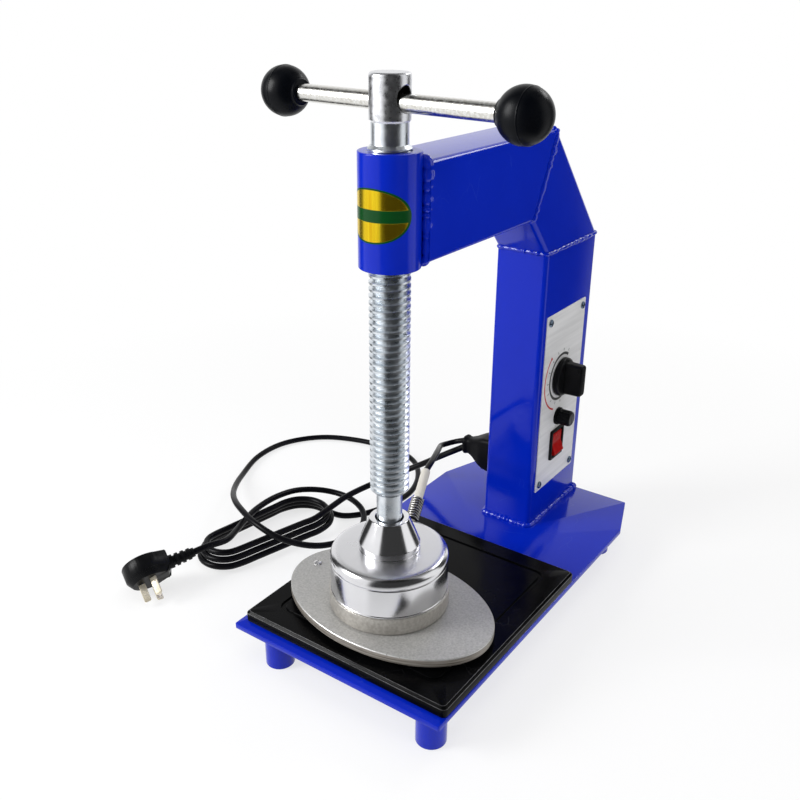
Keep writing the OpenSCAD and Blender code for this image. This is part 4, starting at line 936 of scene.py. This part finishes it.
room_effect = room_light()
ground, tree, _ = new_look("white_bench")
tree.nodes.remove(tree.nodes["Principled BSDF"])
ray = node(tree, "LightPath")
place = node(tree, "TexCoord")["Object"]
away = node(tree, "VectorMath", {0: place}, operation="LENGTH")["Value"]
seen = calc(tree, "MAXIMUM", ray["Is Camera Ray"], ray["Is Glossy Ray"])
seen = calc(tree, "MAXIMUM", seen, ray["Is Transmission Ray"])
in_metal = calc(tree, "MULTIPLY", ramp(tree, away, 0.22, 0.4), ray["Is Glossy Ray"])
glow = calc(tree, "MAXIMUM", calc(tree, "MULTIPLY", seen, ramp(tree, away, 0.3, 0.85, 0.72, 1.0)), in_metal)
room = node(tree, "Group", {0: place}, node_tree=room_effect)
shine = node(tree, "Emission", {"Color": colour_mix(tree, in_metal, (1, 1, 1, 1), room[0])})
white = node(tree, "BsdfDiffuse", {"Color": (0.92, 0.92, 0.92, 1)})
both = node(tree, "MixShader", {0: glow, 1: white[0], 2: shine[0]})
feed(tree, tree.nodes["Material Output"].inputs, {"Surface": both[0]})
reach, drop = 90, -0.0002
bench = bpy.data.meshes.new("bench")
corners = [(-reach, -reach, drop), (reach, -reach, drop), (reach, reach, drop), (-reach, reach, drop)]
bench.from_pydata(corners, [], [(0, 1, 2, 3)])
bench.materials.append(ground)
floor = add("bench", bench)

world = bpy.data.worlds.new("studio")
bpy.context.scene.world = world
world.use_nodes = True
tree = world.node_tree
ray = node(tree, "LightPath")
way = node(tree, "TexCoord")["Generated"]
high = node(tree, "SeparateXYZ", {0: way})["Z"]
ceiling = ramp(tree, high, 0.5, 0.85, 1.0, 0.3, interpolation_type="SMOOTHSTEP")
room = node(tree, "Group", {0: way}, node_tree=room_effect)
mirrored = calc(tree, "MULTIPLY", room[0], ceiling)
lit = colour_mix(tree, ray["Is Glossy Ray"], (0.30, 0.30, 0.30, 1), mirrored)
plain = calc(tree, "MAXIMUM", ray["Is Camera Ray"], ray["Is Transmission Ray"])
sky = colour_mix(tree, plain, lit, (1, 1, 1, 1))
feed(tree, tree.nodes["Background"].inputs, {"Color": sky, "Strength": 1.0})


def soft_lamp(name, place, size, power, mirrored=True):
    """A wide area lamp that faces the press; one that is not mirrored does not show in the metal."""
    lamp = bpy.data.lights.new(name, "AREA")
    lamp.shape, lamp.size, lamp.size_y, lamp.energy = "RECTANGLE", size[0], size[1], power
    made = add(name, lamp)
    made.location = place
    made.rotation_euler = (Vector((0, 0, 0.2)) - Vector(place)).to_track_quat("-Z", "Y").to_euler()
    made.visible_glossy = mirrored


soft_lamp("lamp_window", (-1.1, -1.3, 1.0), (0.7, 1.0), 31)
soft_lamp("lamp_overhead", (0.0, 0.1, 1.9), (1.6, 1.6), 9, False)
soft_lamp("lamp_right", (1.6, -0.5, 0.9), (0.8, 1.4), 10, False)
soft_lamp("lamp_edge", (0.32, 1.19, 1.24), (0.5, 0.3), 3.5)


# Camera
# It stands where the photograph was taken from: right of the front and above, with a normal lens.
# Its three angles turn it to the left, down and about its own axis.
azimuth, pitch_down, roll = np.radians([35.22, 24.18, -0.37])
level = np.array([-np.sin(azimuth), np.cos(azimuth), 0])
ahead = level * np.cos(pitch_down) - np.array([0, 0, np.sin(pitch_down)])
right = np.array([np.cos(azimuth), np.sin(azimuth), 0])
down = np.cross(ahead, right)
cam_right, cam_down = right * np.cos(roll) + down * np.sin(roll), down * np.cos(roll) - right * np.sin(roll)
lens = bpy.data.cameras.new("camera")
lens.sensor_width, lens.lens, lens.clip_end = 36.0, 41.55, 100.0
camera = add("camera", lens)
turn = np.eye(4)
turn[:3, :3] = np.stack([cam_right, -cam_down, -ahead], 1)
turn[:3, 3] = (0.36487, -0.61157, 0.51286)
camera.matrix_world = Matrix(turn.tolist())
bpy.context.scene.camera = camera
bpy.context.scene.view_settings.view_transform = "Standard"
